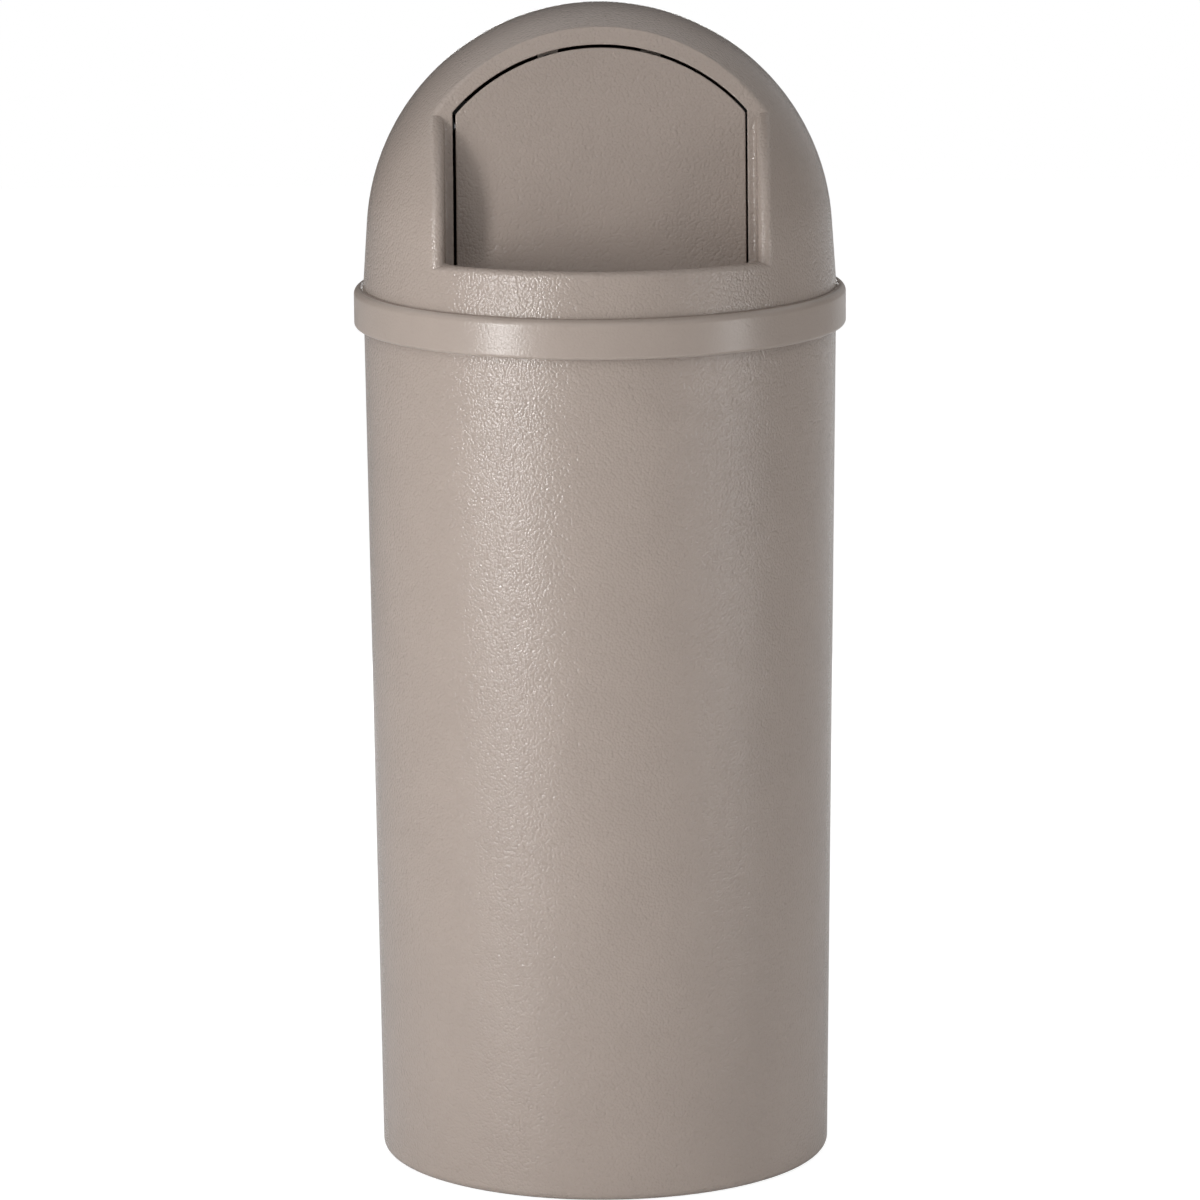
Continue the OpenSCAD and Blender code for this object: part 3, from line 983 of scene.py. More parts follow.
class Finish(Enum):
    """Finishes of the receptacle, each with the record's slot that it fills."""

    TUB = "container_plastic"
    HOOD = "hood_plastic"
    DOOR = "door_plastic"
    BAND = "band_plastic"
    ZINC = "zinc_steel"
    BLACK = "black_steel"
    SPRING = "spring_steel"
    NYLON = "bush_nylon"
    RUBBER = "black_rubber"

    @lru_cache
    def material(self) -> bpy.types.Material:
        """Return the finish's material, built once."""
        beige = (166, 153, 144)
        makers = {
            Finish.TUB: GrainedPlastic("tub grain", beige),
            Finish.HOOD: GrainedPlastic("hood grain", beige, calm_z=read_plan().crease_z),
            Finish.DOOR: GrainedPlastic("door grain", (162, 149, 140)),
            Finish.BAND: GrainedPlastic("band grain", (160, 147, 138), grain=1.2, depth=0.04),
            Finish.ZINC: PlatedSteel("zinc plate"),
            # The brackets' near-black colour is partly their coat and partly painted shade for the gap round
            # the door, where they show through it.
            Finish.BLACK: SmoothMoulding("black coat and gap shade", (36, 36, 38), 0.4, 0.03),
            Finish.SPRING: PlatedSteel("spring wire", (150, 152, 155), 0.24, 6.0),
            # The washers' and bushes' near-black colour is partly the nylon's own and partly painted shade
            # for the gap round the door, where they show through it.
            Finish.NYLON: SmoothMoulding("black nylon", (48, 48, 50), 0.42),
            Finish.RUBBER: SmoothMoulding("black rubber", (34, 34, 35), 0.62),
        }
        return makers[self].material()


def dress(piece: bpy.types.Object, finish: Finish, body: str, *nodes: str) -> None:
    """Give a piece its finish, its body and the nodes it stands for.

    Args:
        piece: The piece.
        finish: Its finish.
        body: Body that it moves with.
        nodes: Nodes that it replaces.
    """
    piece.data.materials.clear()
    piece.data.materials.append(finish.material())
    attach(piece, body)
    if nodes:
        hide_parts(*nodes)
    log.info("%s: %d faces, rides on %s", piece.name, len(piece.data.polygons), body)


# ---- hood ----


@dataclass(frozen=True)
class Section:
    """One cut through the doorway's edge: its round between the niche and the dome.

    Attributes:
        origin: Point (x, u) of the doorway where the cut starts.
        heading: Unit direction (x, u) of the cut.
        along: Distance of the round's centre from the origin.
        out: Distance of that centre out of the doorway's face.
        radius: Radius of the round.
        start: Angle at which the round leaves the niche.
        end: Angle at which it meets the dome.
    """

    origin: Spot
    heading: Spot
    along: float
    out: float
    radius: float
    start: float
    end: float


class Lane(NamedTuple):
    """What one line of the hood's shell follows.

    Attributes:
        opening: Point (x, u) of the opening's edge.
        corner: Point (x, u) where the frame and the niche's side would meet.
        cove: Radius of the cove between them.
        sill: 1 where the niche's side is the sill, 0 where it is a jamb or the arch.
        edge: Points of the doorway's round, from the niche to the dome.
        azimuth: Azimuth at which the line meets the crease, from the front.
    """

    opening: Spot
    corner: Spot
    cove: float
    sill: float
    edge: list[Vector]
    azimuth: float


@dataclass(frozen=True)
class Hood:
    """Domed hood with its doorway: one shell of even wall, laid line by line.

    The shell is a ring round the doorway. Each line of it starts at the opening's edge, runs over
    the frame, the jamb or the sill, round the doorway's edge, over the dome down to the skirt, and
    back inside. A grid has that order of faces, so its vertices are laid on those lines.

    Attributes:
        plan: The shared sizes.
        opening_edge_r: Radius of the opening's edge.
        cove_r: Radius of the cove at the foot of the jambs.
        jamb_round_r: Radius of the jambs' outer edge.
        crest_round_r: Radius of the arch's outer edge.
        corner_r: Radius of the niche's lower corners.
        mitre_r: Half width of the mitre between the jambs' and the lip's rounds.
        post_r: Radius of the posts that take the bracket screws.
        post_root: How far posts and lugs reach into the frame.
        pilot_gap: How much wider than the screw a post's pilot hole is, all round.
        pilot_past: How much deeper than the screw it is.
        sill_lines: Number of lines over half the sill.
        corner_lines: Number of lines round the niche's lower corner.
        jamb_lines: Number of lines up the jamb.
        fan_lines: Number of lines round the shoulder.
        arch_lines: Number of lines over half the arch.
        edge_rows: Stretches across the doorway's round, outside and inside.
        face_rows: Stretches over the frame, the cove and the niche's side, outside.
        back_rows: The same inside.
        dome_rows: Stretches over the dome, outside and inside.
        dome_grow: How much the stretches over the dome grow, outside and inside.
        corner_azimuth: Azimuth at which the line from the sill's end meets the crease.
        corner_spread: How much further round the jamb's first line meets it.
        top_azimuth: Azimuth at which the line from the jamb's top meets it.
        fan_turn: Turn from the level at which the fan becomes the arch.
        settle_turn: Turn over which the jamb's round becomes the arch's.
        round_fade: Rise in which the jamb's round turns level over the mitre.
        foot_fade: Rise in which the jamb's lines turn level on the frame.
        sink_share: Share of the jamb's lines that stand below where its round sinks in.
    """

    plan: Plan
    opening_edge_r: float = 0.9
    cove_r: float = 3.0
    jamb_round_r: float = 6.2
    crest_round_r: float = 1.0
    corner_r: float = 6.0
    mitre_r: float = 0.9
    post_r: float = 4.5
    post_root: float = 1.0
    pilot_gap: float = 0.03
    pilot_past: float = 1.2
    sill_lines: int = 44
    corner_lines: int = 8
    jamb_lines: int = 64
    fan_lines: int = 16
    arch_lines: int = 60
    edge_rows: tuple[int, int] = (10, 5)
    face_rows: tuple[int, int, int] = (4, 8, 10)
    back_rows: tuple[int, int, int] = (3, 6, 6)
    dome_rows: tuple[int, int] = (40, 24)
    dome_grow: tuple[float, float] = (2.2, 1.2)
    corner_azimuth: float = math.radians(47)
    corner_spread: float = 0.02
    top_azimuth: float = math.radians(100)
    fan_turn: float = math.radians(45)
    settle_turn: float = math.radians(24)
    round_fade: float = 7.0
    foot_fade: float = 6.0
    sink_share: float = 0.78

    # -- places --

    def depth_on_dome(self, x: float, u: float, inset: float) -> float:
        """Return how far the dome stands out of the doorway's face over a point of it."""
        plan, dome, steps = self.plan, self.plan.dome.inset(inset), 5
        n = math.sqrt(max(dome.radius**2 - x * x - u * u, 0.0)) - plan.door_setback
        slope = math.tan(dome.draft)
        for _ in range(steps):
            point = plan.on_doorway(x, u, n)
            if point.z >= dome.edge_z:
                break
            flat = math.hypot(point.x, point.y)
            miss = flat - dome.radius_at(point.z)
            n -= miss / (point.y * plan.out.y / flat + slope * plan.out.z)
        return n

    @lru_cache
    def jamb_section(self, u: float, inset: float) -> Section:
        """Return the cut at a height through a jamb's edge, on the +X side."""
        plan, dome, steps = self.plan, self.plan.dome.inset(inset), 6
        radius = self.jamb_round_r - inset
        along = plan.jamb_half_w + self.jamb_round_r
        reach = math.sqrt(dome.radius**2 - u * u)
        out = math.sqrt((reach - radius) ** 2 - along**2) - plan.door_setback
        end = math.atan2(out + plan.door_setback, along)
        for _ in range(steps):
            x = along + radius * math.cos(end)
            n = self.depth_on_dome(x, u, inset)
            normal = dome.normal(plan.on_doorway(x, u, n))
            end = math.atan2(normal.dot(plan.out), normal.x)
            out = n - radius * math.sin(end)
        start = math.pi
        if out < -inset:
            start = math.pi - math.asin(min((-inset - out) / radius, 1.0))
        return Section((0, u), (1, 0), along, out, radius, start, end)

    def crest_section(self, origin: Spot, heading: Spot, radius: float, inset: float) -> Section:
        """Return a cut from a point of the doorway's face through the arch's edge."""
        dome, back, least = self.plan.dome.inset(inset), self.plan.door_setback, 0.3
        radius = max(radius - inset, least)
        middle = -(origin[0] * heading[0] + origin[1] * heading[1])
        aside = origin[0] ** 2 + origin[1] ** 2 - middle**2
        reach = math.sqrt(dome.radius**2 - aside) - radius
        out = -inset - radius
        along = middle + math.sqrt(reach**2 - (back + out) ** 2)
        end = math.atan2(out + back, along - middle)
        return Section(origin, heading, along, out, radius, math.pi / 2, end)

    def on_section(self, cut: Section, share: float) -> Vector:
        """Return a point of a cut's round, from the niche at 0 to the dome at 1."""
        angle = blend(cut.start, cut.end, share)
        along = cut.along + cut.radius * math.cos(angle)
        return self.plan.on_doorway(
            cut.origin[0] + cut.heading[0] * along,
            cut.origin[1] + cut.heading[1] * along,
            cut.out + cut.radius * math.sin(angle),
        )

    @property
    def lip_centre(self) -> Spot:
        """Radius and height of the centre of the lip's round."""
        plan = self.plan
        z = plan.lip_z - plan.lip_edge_r
        wall = plan.dome.radius_at(z) - plan.lip_edge_r / math.cos(plan.hood_draft)
        return wall, z

    def on_lip(self, azimuth: float, angle: float, inset: float) -> Vector:
        """Return a point of the lip's round at an azimuth from the front and an angle round it."""
        radius, z = self.lip_centre
        edge = self.plan.lip_edge_r - inset
        flat = radius + edge * math.cos(angle)
        return round_axis(azimuth, flat, z + edge * math.sin(angle))

    def height_where(self, share: float, inset: float, test: Callable[[Vector], float]) -> float:
        """Return the height u at which a point of the jamb's round meets a test.

        Args:
            share: Place across the round.
            inset: How far inside the skin.
            test: Gives a number that is 0 there and grows with u.

        Returns:
            The height.
        """
        below, above, halvings = 12, 30, 40
        low, high = self.plan.sill_u - below, self.plan.sill_u + above
        for _ in range(halvings):
            middle = (low + high) / 2
            if test(self.on_section(self.jamb_section(middle, inset), share)) > 0:
                high = middle
            else:
                low = middle
        return (low + high) / 2

    @lru_cache
    def mitre(self, inset: float, rows: int) -> list[float]:
        """Return the heights u at which the jamb's round meets the lip's, row by row."""
        top = self.plan.lip_z - inset
        contact = self.lip_centre[1] + (self.plan.lip_edge_r - inset) * math.sin(self.plan.hood_draft)
        first = self.height_where(0, inset, lambda p: p.z - top)
        last = self.height_where(1, inset, lambda p: p.z - contact)
        inner = self.on_section(self.jamb_section(first, inset), 0)
        outer = self.on_section(self.jamb_section(last, inset), 1)
        flat = self.plan.dome.inset(inset).radius_at(top)
        corner = Vector((inner.x, -math.sqrt(flat**2 - inner.x**2), top))
        across = (corner - inner).cross(outer - inner).normalized()
        if across.z < 0:
            across.negate()
        between = spaced(rows)[1:-1]
        middle = [self.height_where(s, inset, lambda p: (p - inner).dot(across)) for s in between]
        return [first, *middle, last]

    # -- lines --

    def niche_line(
        self, opening: Spot, corner: Spot, edge: Vector, cove: float, inset: float,
        counts: tuple[int, int, int],
    ) -> list[Vector]:
        """Run from the opening's edge over the frame and up the niche's side.

        Args:
            opening: Point (x, u) of the opening's edge.
            corner: Point (x, u) where the frame and the niche's side would meet.
            edge: Where the niche's side meets the doorway's round.
            cove: Radius of the cove in between.
            inset: How far inside the skin.
            counts: Numbers of stretches over the frame, the cove and the side.

        Returns:
            The points, without the last one.
        """
        fit, least_cove, steps, least_stretch, least_share = 0.95, 0.05, 8, 0.8, 1 / 8
        first = self.plan.on_doorway(*opening, -inset)
        bend = self.plan.on_doorway(*corner, -inset)
        path = [first]
        flat = (bend - first).length
        cove = min(cove, flat * fit)
        if cove > least_cove:
            back, ahead = (first - bend) / flat, (edge - bend).normalized()
            cove = min(cove, (edge - bend).length * fit)
            for s in spaced(steps):
                turn = s * math.pi / 2
                path.append(bend + back * cove * (1 - math.sin(turn)) + ahead * cove * (1 - math.cos(turn)))
        else:
            path.append(bend)
        path.append(edge)
        lengths = self.lengths(path)
        total, least = lengths[-1], min(least_stretch, lengths[-1] * least_share)
        frame_end = min(max(flat - cove, least), total - 2 * least)
        cove_end = min(max(flat - cove + cove * math.pi / 2, frame_end + least), total - least)
        stops = [0.0, frame_end, cove_end, total]
        points = []
        for start, end, count in zip(stops, stops[1:], counts):
            for s in spaced(count)[:-1]:
                points.append(self.along(path, lengths, blend(start, end, s)))
        return points

    @staticmethod
    def lengths(path: Sequence[Vector]) -> list[float]:
        """Return how far along a path of points each of them lies."""
        lengths = [0.0]
        for a, b in zip(path, path[1:]):
            lengths.append(lengths[-1] + (b - a).length)
        return lengths

    @staticmethod
    def along(path: Sequence[Vector], lengths: Sequence[float], length: float) -> Vector:
        """Return the point at a length along a path of points."""
        nothing = 1e-9
        for i in range(1, len(path)):
            if length <= lengths[i] or i == len(path) - 1:
                stretch = lengths[i] - lengths[i - 1]
                if stretch < nothing:
                    continue
                return path[i - 1].lerp(path[i], (length - lengths[i - 1]) / stretch)
        return path[-1]

    def spoke(self, start: Vector, azimuth: float, inset: float, count: int, grow: float) -> list[Vector]:
        """Run over the dome from a point of it down to the crease.

        Args:
            start: First point, on the dome.
            azimuth: Azimuth of the last point, from the front.
            inset: How far inside the skin.
            count: Number of stretches.
            grow: How much longer the middle stretches are than the first.

        Returns:
            The points, without the first.
        """
        dome = self.plan.dome.inset(inset)
        centre = Vector((0, 0, dome.centre_z))
        end = round_axis(azimuth, dome.radius_at(self.plan.crease_z), self.plan.crease_z)
        first, last = (start - centre).normalized(), (end - centre).normalized()
        sweep = first.angle(last)
        points = []
        for s in spaced(count)[1:]:
            share = math.expm1(grow * s) / math.expm1(grow) if grow else s
            direction = (
                first * math.sin((1 - share) * sweep) + last * math.sin(share * sweep)
            ) / math.sin(sweep)
            points.append(dome.reach(direction.normalized()))
        points[-1] = end
        return points

    def skirt_outline(self) -> Outline:
        """Return the skirt's outline below the crease, down outside and up inside to the seat."""
        plan = self.plan
        centre_r = plan.skirt_r - plan.shoulder_r
        centre_z = plan.crease_z - math.sqrt(plan.shoulder_r**2 - (plan.crease_r - centre_r) ** 2)
        start = math.atan2(plan.crease_z - centre_z, plan.crease_r - centre_r)
        inner_r = plan.skirt_r - plan.skirt_wall
        seat_r = plan.dome.inset(plan.hood_wall).radius_at(plan.crease_z)
        low, edge, ease_r = plan.skirt_low_z, plan.skirt_edge_r, 0.4
        face = [(plan.skirt_r, blend(centre_z, low + edge, s)) for s in spaced(4)[1:-1]]
        foot = arc((plan.skirt_r - edge, low + edge), edge, 0, -math.pi / 2, 8)
        inside = [(inner_r, low + 0.5), (inner_r, blend(low, plan.container_h, 0.5))]
        seat = [
            (inner_r, plan.container_h - ease_r),
            (inner_r - ease_r, plan.container_h),
            (blend(inner_r, seat_r, 0.5), plan.container_h),
            (seat_r + ease_r, plan.container_h),
            (seat_r, plan.container_h + ease_r),
            (seat_r, blend(plan.container_h, plan.crease_z, 0.6)),
        ]
        return arc((centre_r, centre_z), plan.shoulder_r, start, 0, 10)[1:] + face + foot + inside + seat

    def side_lines(self, inset: float, rows: int) -> list[Lane]:
        """List the lines of the +X half, from the middle of the sill round to the middle of the arch.

        Args:
            inset: How far inside the skin.
            rows: Number of stretches in the doorway's round.

        Returns:
            What each line follows, in order.
        """
        plan = self.plan
        half_w, sill_u = plan.opening_half_w, plan.sill_u
        shares = spaced(rows)
        heights = self.mitre(inset, rows)
        mitre = [self.on_section(self.jamb_section(u, inset), s) for u, s in zip(heights, shares)]
        lip_r, lip_z = self.lip_centre
        azimuths = [math.atan2(p.x, -p.y) for p in mitre]
        angles = [math.atan2(p.z - lip_z, math.hypot(p.x, p.y) - lip_r) for p in mitre]
        first_angle = math.pi / 2 + math.atan2(plan.sill_drop, lip_r + plan.foot.y)
        late = 8
        lines = []

        def lip_round(share: float) -> list[Vector]:
            """Return the lip's round at a share of the way to the mitre."""
            points = []
            for s, azimuth, angle, target in zip(shares, azimuths, angles, mitre):
                plain = blend(first_angle, plan.hood_draft, s)
                point = self.on_lip(azimuth * share, blend(plain, angle, share * share), inset)
                miss = target - self.on_lip(azimuth, angle, inset)
                points.append(point + miss * share**late)
            return points

        def jamb_round(rise: float) -> list[Vector]:
            """Return the jamb's round at a rise above the mitre."""
            fall = math.exp(-rise / self.round_fade)
            level = heights[0] + rise
            return [
                self.on_section(self.jamb_section(level + (u - heights[0]) * fall, inset), s)
                for u, s in zip(heights, shares)
            ]

        # The sill, up to a little before the mitre
        lip_length = azimuths[-1] * lip_r
        last_share = 1 - self.mitre_r / lip_length
        for s in spaced(self.sill_lines)[:-1]:
            point = (half_w * s, sill_u - inset)
            lines.append(Lane(point, point, 0.0, 1.0, lip_round(s * last_share), self.corner_azimuth * s))
        # The niche's lower corner, round the mitre
        before, after = lip_round(last_share), jamb_round(self.mitre_r)
        centre = (plan.jamb_half_w - self.corner_r, sill_u + self.corner_r)
        for s in spaced(self.corner_lines)[:-1]:
            turn = (s - 1) * math.pi / 2
            radius = self.corner_r + inset
            corner = (centre[0] + radius * math.cos(turn), centre[1] + radius * math.sin(turn))
            opening = (half_w, blend(sill_u - inset, centre[1], s))
            edge = [
                a * (1 - s) ** 2 + m * (2 * s * (1 - s)) + b * s**2 for a, m, b in zip(before, mitre, after)
            ]
            azimuth = self.corner_azimuth + s * self.corner_spread
            lines.append(Lane(opening, corner, (self.cove_r + inset) * s, 1 - s, edge, azimuth))
        # The jamb, up to where its round has sunk into the frame
        low_u, high_u = heights[0] + self.mitre_r, self.jamb_top(inset)
        for s in spaced(self.jamb_lines):
            level = self.jamb_level(s, low_u, high_u, inset)
            rise = level - heights[0]
            foot_u = level + (centre[1] - low_u) * math.exp(-(level - low_u) / self.foot_fade)
            cut = self.jamb_section(level, inset)
            side = plan.jamb_half_w + inset
            if cut.start < math.pi:
                side = cut.along + cut.radius * math.cos(cut.start)
            azimuth = blend(self.corner_azimuth + self.corner_spread, self.top_azimuth, s)
            opening, corner = (half_w, foot_u), (side, foot_u)
            lines.append(Lane(opening, corner, self.cove_r + inset, 0.0, jamb_round(rise), azimuth))
        # The fan round the shoulder and the arch over it
        start_u = level
        start_turn = math.atan2(start_u, self.jamb_section(start_u, inset).along)
        fan_end = self.opening_on_ray(self.fan_turn)
        total = self.fan_lines + self.arch_lines
        for i in range(1, total + 1):
            azimuth = blend(self.top_azimuth, math.pi, i / total)
            if i <= self.fan_lines:
                s = i / self.fan_lines
                turn = blend(start_turn, self.fan_turn, s)
                opening = self.opening_between((half_w, start_u), fan_end, s)
            else:
                turn = blend(self.fan_turn, math.pi / 2, (i - self.fan_lines) / self.arch_lines)
                opening = self.opening_on_ray(turn)
            target = (plan.crest_r * math.cos(turn), plan.crest_r * math.sin(turn))
            heading = Vector((target[0] - opening[0], target[1] - opening[1])).normalized()
            settle = ease((turn - start_turn) / self.settle_turn)
            radius = blend(self.jamb_round_r, self.crest_round_r, settle)
            cut = self.crest_section(opening, tuple(heading), radius, inset)
            edge = [self.on_section(cut, s) for s in shares]
            corner = (opening[0] + heading.x * cut.along, opening[1] + heading.y * cut.along)
            lines.append(Lane(opening, corner, 0.0, 0.0, edge, azimuth))
        return lines

    @lru_cache
    def jamb_top(self, inset: float) -> float:
        """Return the height u at which the jamb's round has just sunk below the frame."""
        dome, radius = self.plan.dome.inset(inset), self.jamb_round_r - inset
        along = self.plan.jamb_half_w + self.jamb_round_r
        reach = radius + math.hypot(along, self.plan.door_setback - inset - radius)
        return math.sqrt(dome.radius**2 - reach**2)

    def jamb_level(self, share: float, low: float, top: float, inset: float) -> float:
        """Return the height of a jamb's line, with lines gathered where its round sinks in."""
        dome, radius = self.plan.dome.inset(inset), self.jamb_round_r - inset
        along = self.plan.jamb_half_w + self.jamb_round_r
        reach = radius + math.hypot(along, self.plan.door_setback - inset)
        bend = math.sqrt(dome.radius**2 - reach**2)
        if share <= self.sink_share:
            return blend(low, bend, share / self.sink_share)
        sink = -radius * math.sin((share - self.sink_share) / (1 - self.sink_share) * math.pi / 2)
        reach = radius + math.hypot(along, self.plan.door_setback - inset + sink)
        return min(math.sqrt(dome.radius**2 - reach**2), top)

    def opening_on_ray(self, turn: float) -> Spot:
        """Return where a ray from the crest circle's centre meets the opening's arch."""
        drop, radius = self.plan.arch_drop, self.plan.opening_r
        middle = drop * math.sin(turn)
        length = -middle + math.sqrt(middle**2 - drop**2 + radius**2)
        return length * math.cos(turn), length * math.sin(turn)

    def opening_between(self, start: Spot, end: Spot, share: float) -> Spot:
        """Return a point on the opening's rounded shoulder, between two points beside it."""
        plan, corner_r, corner_steps, head_steps = self.plan, self.plan.opening_corner_r, 10, 8
        x = plan.opening_half_w - corner_r
        up = math.sqrt((plan.opening_r - corner_r) ** 2 - x * x)
        lean = math.atan2(up, x)
        centre = (x, up - plan.arch_drop)
        path = [Vector(start)] + [Vector(p) for p in arc(centre, corner_r, 0, lean, corner_steps)]
        stop = math.atan2(end[1] + plan.arch_drop, end[0])
        head = arc((0, -plan.arch_drop), plan.opening_r, lean, stop, head_steps)
        path += [Vector(p) for p in head[1:]]
        lengths = self.lengths(path)
        point = self.along(path, lengths, share * lengths[-1])
        return point.x, point.y

    def line(self, outer: Lane, inner: Lane) -> list[Vector]:
        """Return all points of one line of the shell, in millimetres.

        Args:
            outer: What the line follows on the skin.
            inner: What it follows a wall's thickness inside.

        Returns:
            The points, in the order of the grid's columns.
        """
        plan, wall, edge_r, nothing, edge_steps = self.plan, self.plan.hood_wall, self.opening_edge_r, 1e-6, 4
        (x, u), jamb = outer.opening, 1 - outer.sill
        # The opening's edge, from the back of the frame to its face
        toward = Vector((outer.corner[0] - x, outer.corner[1] - u))
        toward = toward.normalized() if toward.length > nothing else Vector((0, -1))
        points = [plan.on_doorway(x, u, -wall), plan.on_doorway(x, u, -edge_r - 0.4)]
        for s in spaced(edge_steps)[:-1]:
            turn = s * math.pi / 2
            side = edge_r * (1 - math.cos(turn)) * jamb
            out = blend(-edge_r * (1 - math.sin(turn)), -edge_r * (1 - s), outer.sill)
            points.append(plan.on_doorway(x + toward.x * side, u + toward.y * side, out))
        # Frame, cove and side, then the round and the dome
        face = (x + toward.x * edge_r * jamb, u + toward.y * edge_r * jamb)
        points += self.niche_line(face, outer.corner, outer.edge[0], outer.cove, 0.0, self.face_rows)
        points += outer.edge
        rows, grow = self.dome_rows, self.dome_grow
        points += self.spoke(outer.edge[-1], outer.azimuth, 0.0, rows[0], grow[0] * jamb)
        # The skirt
        points += [round_axis(outer.azimuth, r, z) for r, z in self.skirt_outline()]
        # Back inside, to the back of the frame
        inside = self.niche_line(inner.opening, inner.corner, inner.edge[0], inner.cove, wall, self.back_rows)
        inside += inner.edge
        inside += self.spoke(inner.edge[-1], outer.azimuth, wall, rows[1], grow[1] * jamb)
        points += list(reversed(inside))[:-1]
        return points

    # -- building --

    def shell(self) -> bpy.types.Object:
        """Build the hood's shell."""
        outside = self.side_lines(0.0, self.edge_rows[0])
        inside = self.side_lines(self.plan.hood_wall, self.edge_rows[1])
        half = [self.line(outer, inner) for outer, inner in zip(outside, inside)]
        mirrored = [[Vector((-p.x, p.y, p.z)) for p in line] for line in reversed(half[1:-1])]
        lines = half + mirrored
        bpy.ops.object.select_all(action="DESELECT")
        bpy.ops.mesh.primitive_grid_add(x_subdivisions=len(lines[0]), y_subdivisions=len(lines))
        piece = bpy.context.object
        Workbench.lay(piece, [p * MM for line in [*lines, lines[0]] for p in [*line, line[0]]])
        Workbench.close(piece, Workbench.FINE_MERGE)
        return piece

    def posts(self) -> list[bpy.types.Object]:
        """Build the posts on the frame's back that take the bracket screws."""
        plan = self.plan
        face, root = plan.bracket_face, plan.hood_wall - self.post_root
        pilot_r = plan.screw_d / 2 + self.pilot_gap
        pilot_end = face + plan.bracket_t - plan.screw_l - self.pilot_past
        outline = filleted(
            [
                (0, pilot_end, 0), (pilot_r, pilot_end, 0), (pilot_r, face, 0.3),
                (self.post_r, face, 0.6), (self.post_r, root, 0), (0, root, 0),
            ],
            3,
        )
        return [
            Workbench.turned("post", outline, plan.on_doorway(side * x, u, 0), -plan.out, 40, closed=False)
            for side in (-1, 1)
            for x, u in plan.screw_places
        ]

    def lugs(self) -> list[bpy.types.Object]:
        """Build the lugs over the door's head that hold the bumpers."""
        plan, made = self.plan, []
        half, depth = plan.lug_w / 2, plan.lug_depth
        low = math.sqrt(plan.opening_r**2 - (plan.bumper_x - half) ** 2) - plan.arch_drop + 1
        top, foot, inner = low + plan.lug_t, plan.bumper_u - half, plan.lug_t - depth
        root = self.post_root - plan.hood_wall
        profile = filleted(
            [
                (low, root, 0), (top, root, 0), (top, -depth, 1.2),
                (foot, -depth, 0.8), (foot, inner, 0.8), (low, inner, 1.5),
            ],
            4,
        )
        for side in (-1, 1):
            centre = side * plan.bumper_x
            ring = [plan.on_doorway(centre - half, u, n) for u, n in profile]
            lug = Workbench.prism("lug", ring, Vector((plan.lug_w, 0, 0)))
            stem_r = plan.stem_d / 2 + plan.push_gap
            start, end = depth - plan.lug_t - 1, depth + 1
            hole = [(0, start), (stem_r, start), (stem_r, end), (0, end)]
            origin = plan.on_doorway(centre, plan.bumper_u, 0)
            Workbench.cut(lug, Workbench.turned("hole", hole, origin, -plan.out, 40, closed=False))
            Workbench.soften(lug, 0.4)
            made.append(lug)
        return made

    def build(self) -> None:
        """Build the hood and dress it."""
        hood = Workbench.join("hood_shell", [self.shell(), *self.posts(), *self.lugs()])
        Workbench.smooth(hood, math.radians(40))
        dress(hood, Finish.HOOD, "dome", "dome_top")


# ---- tub ----


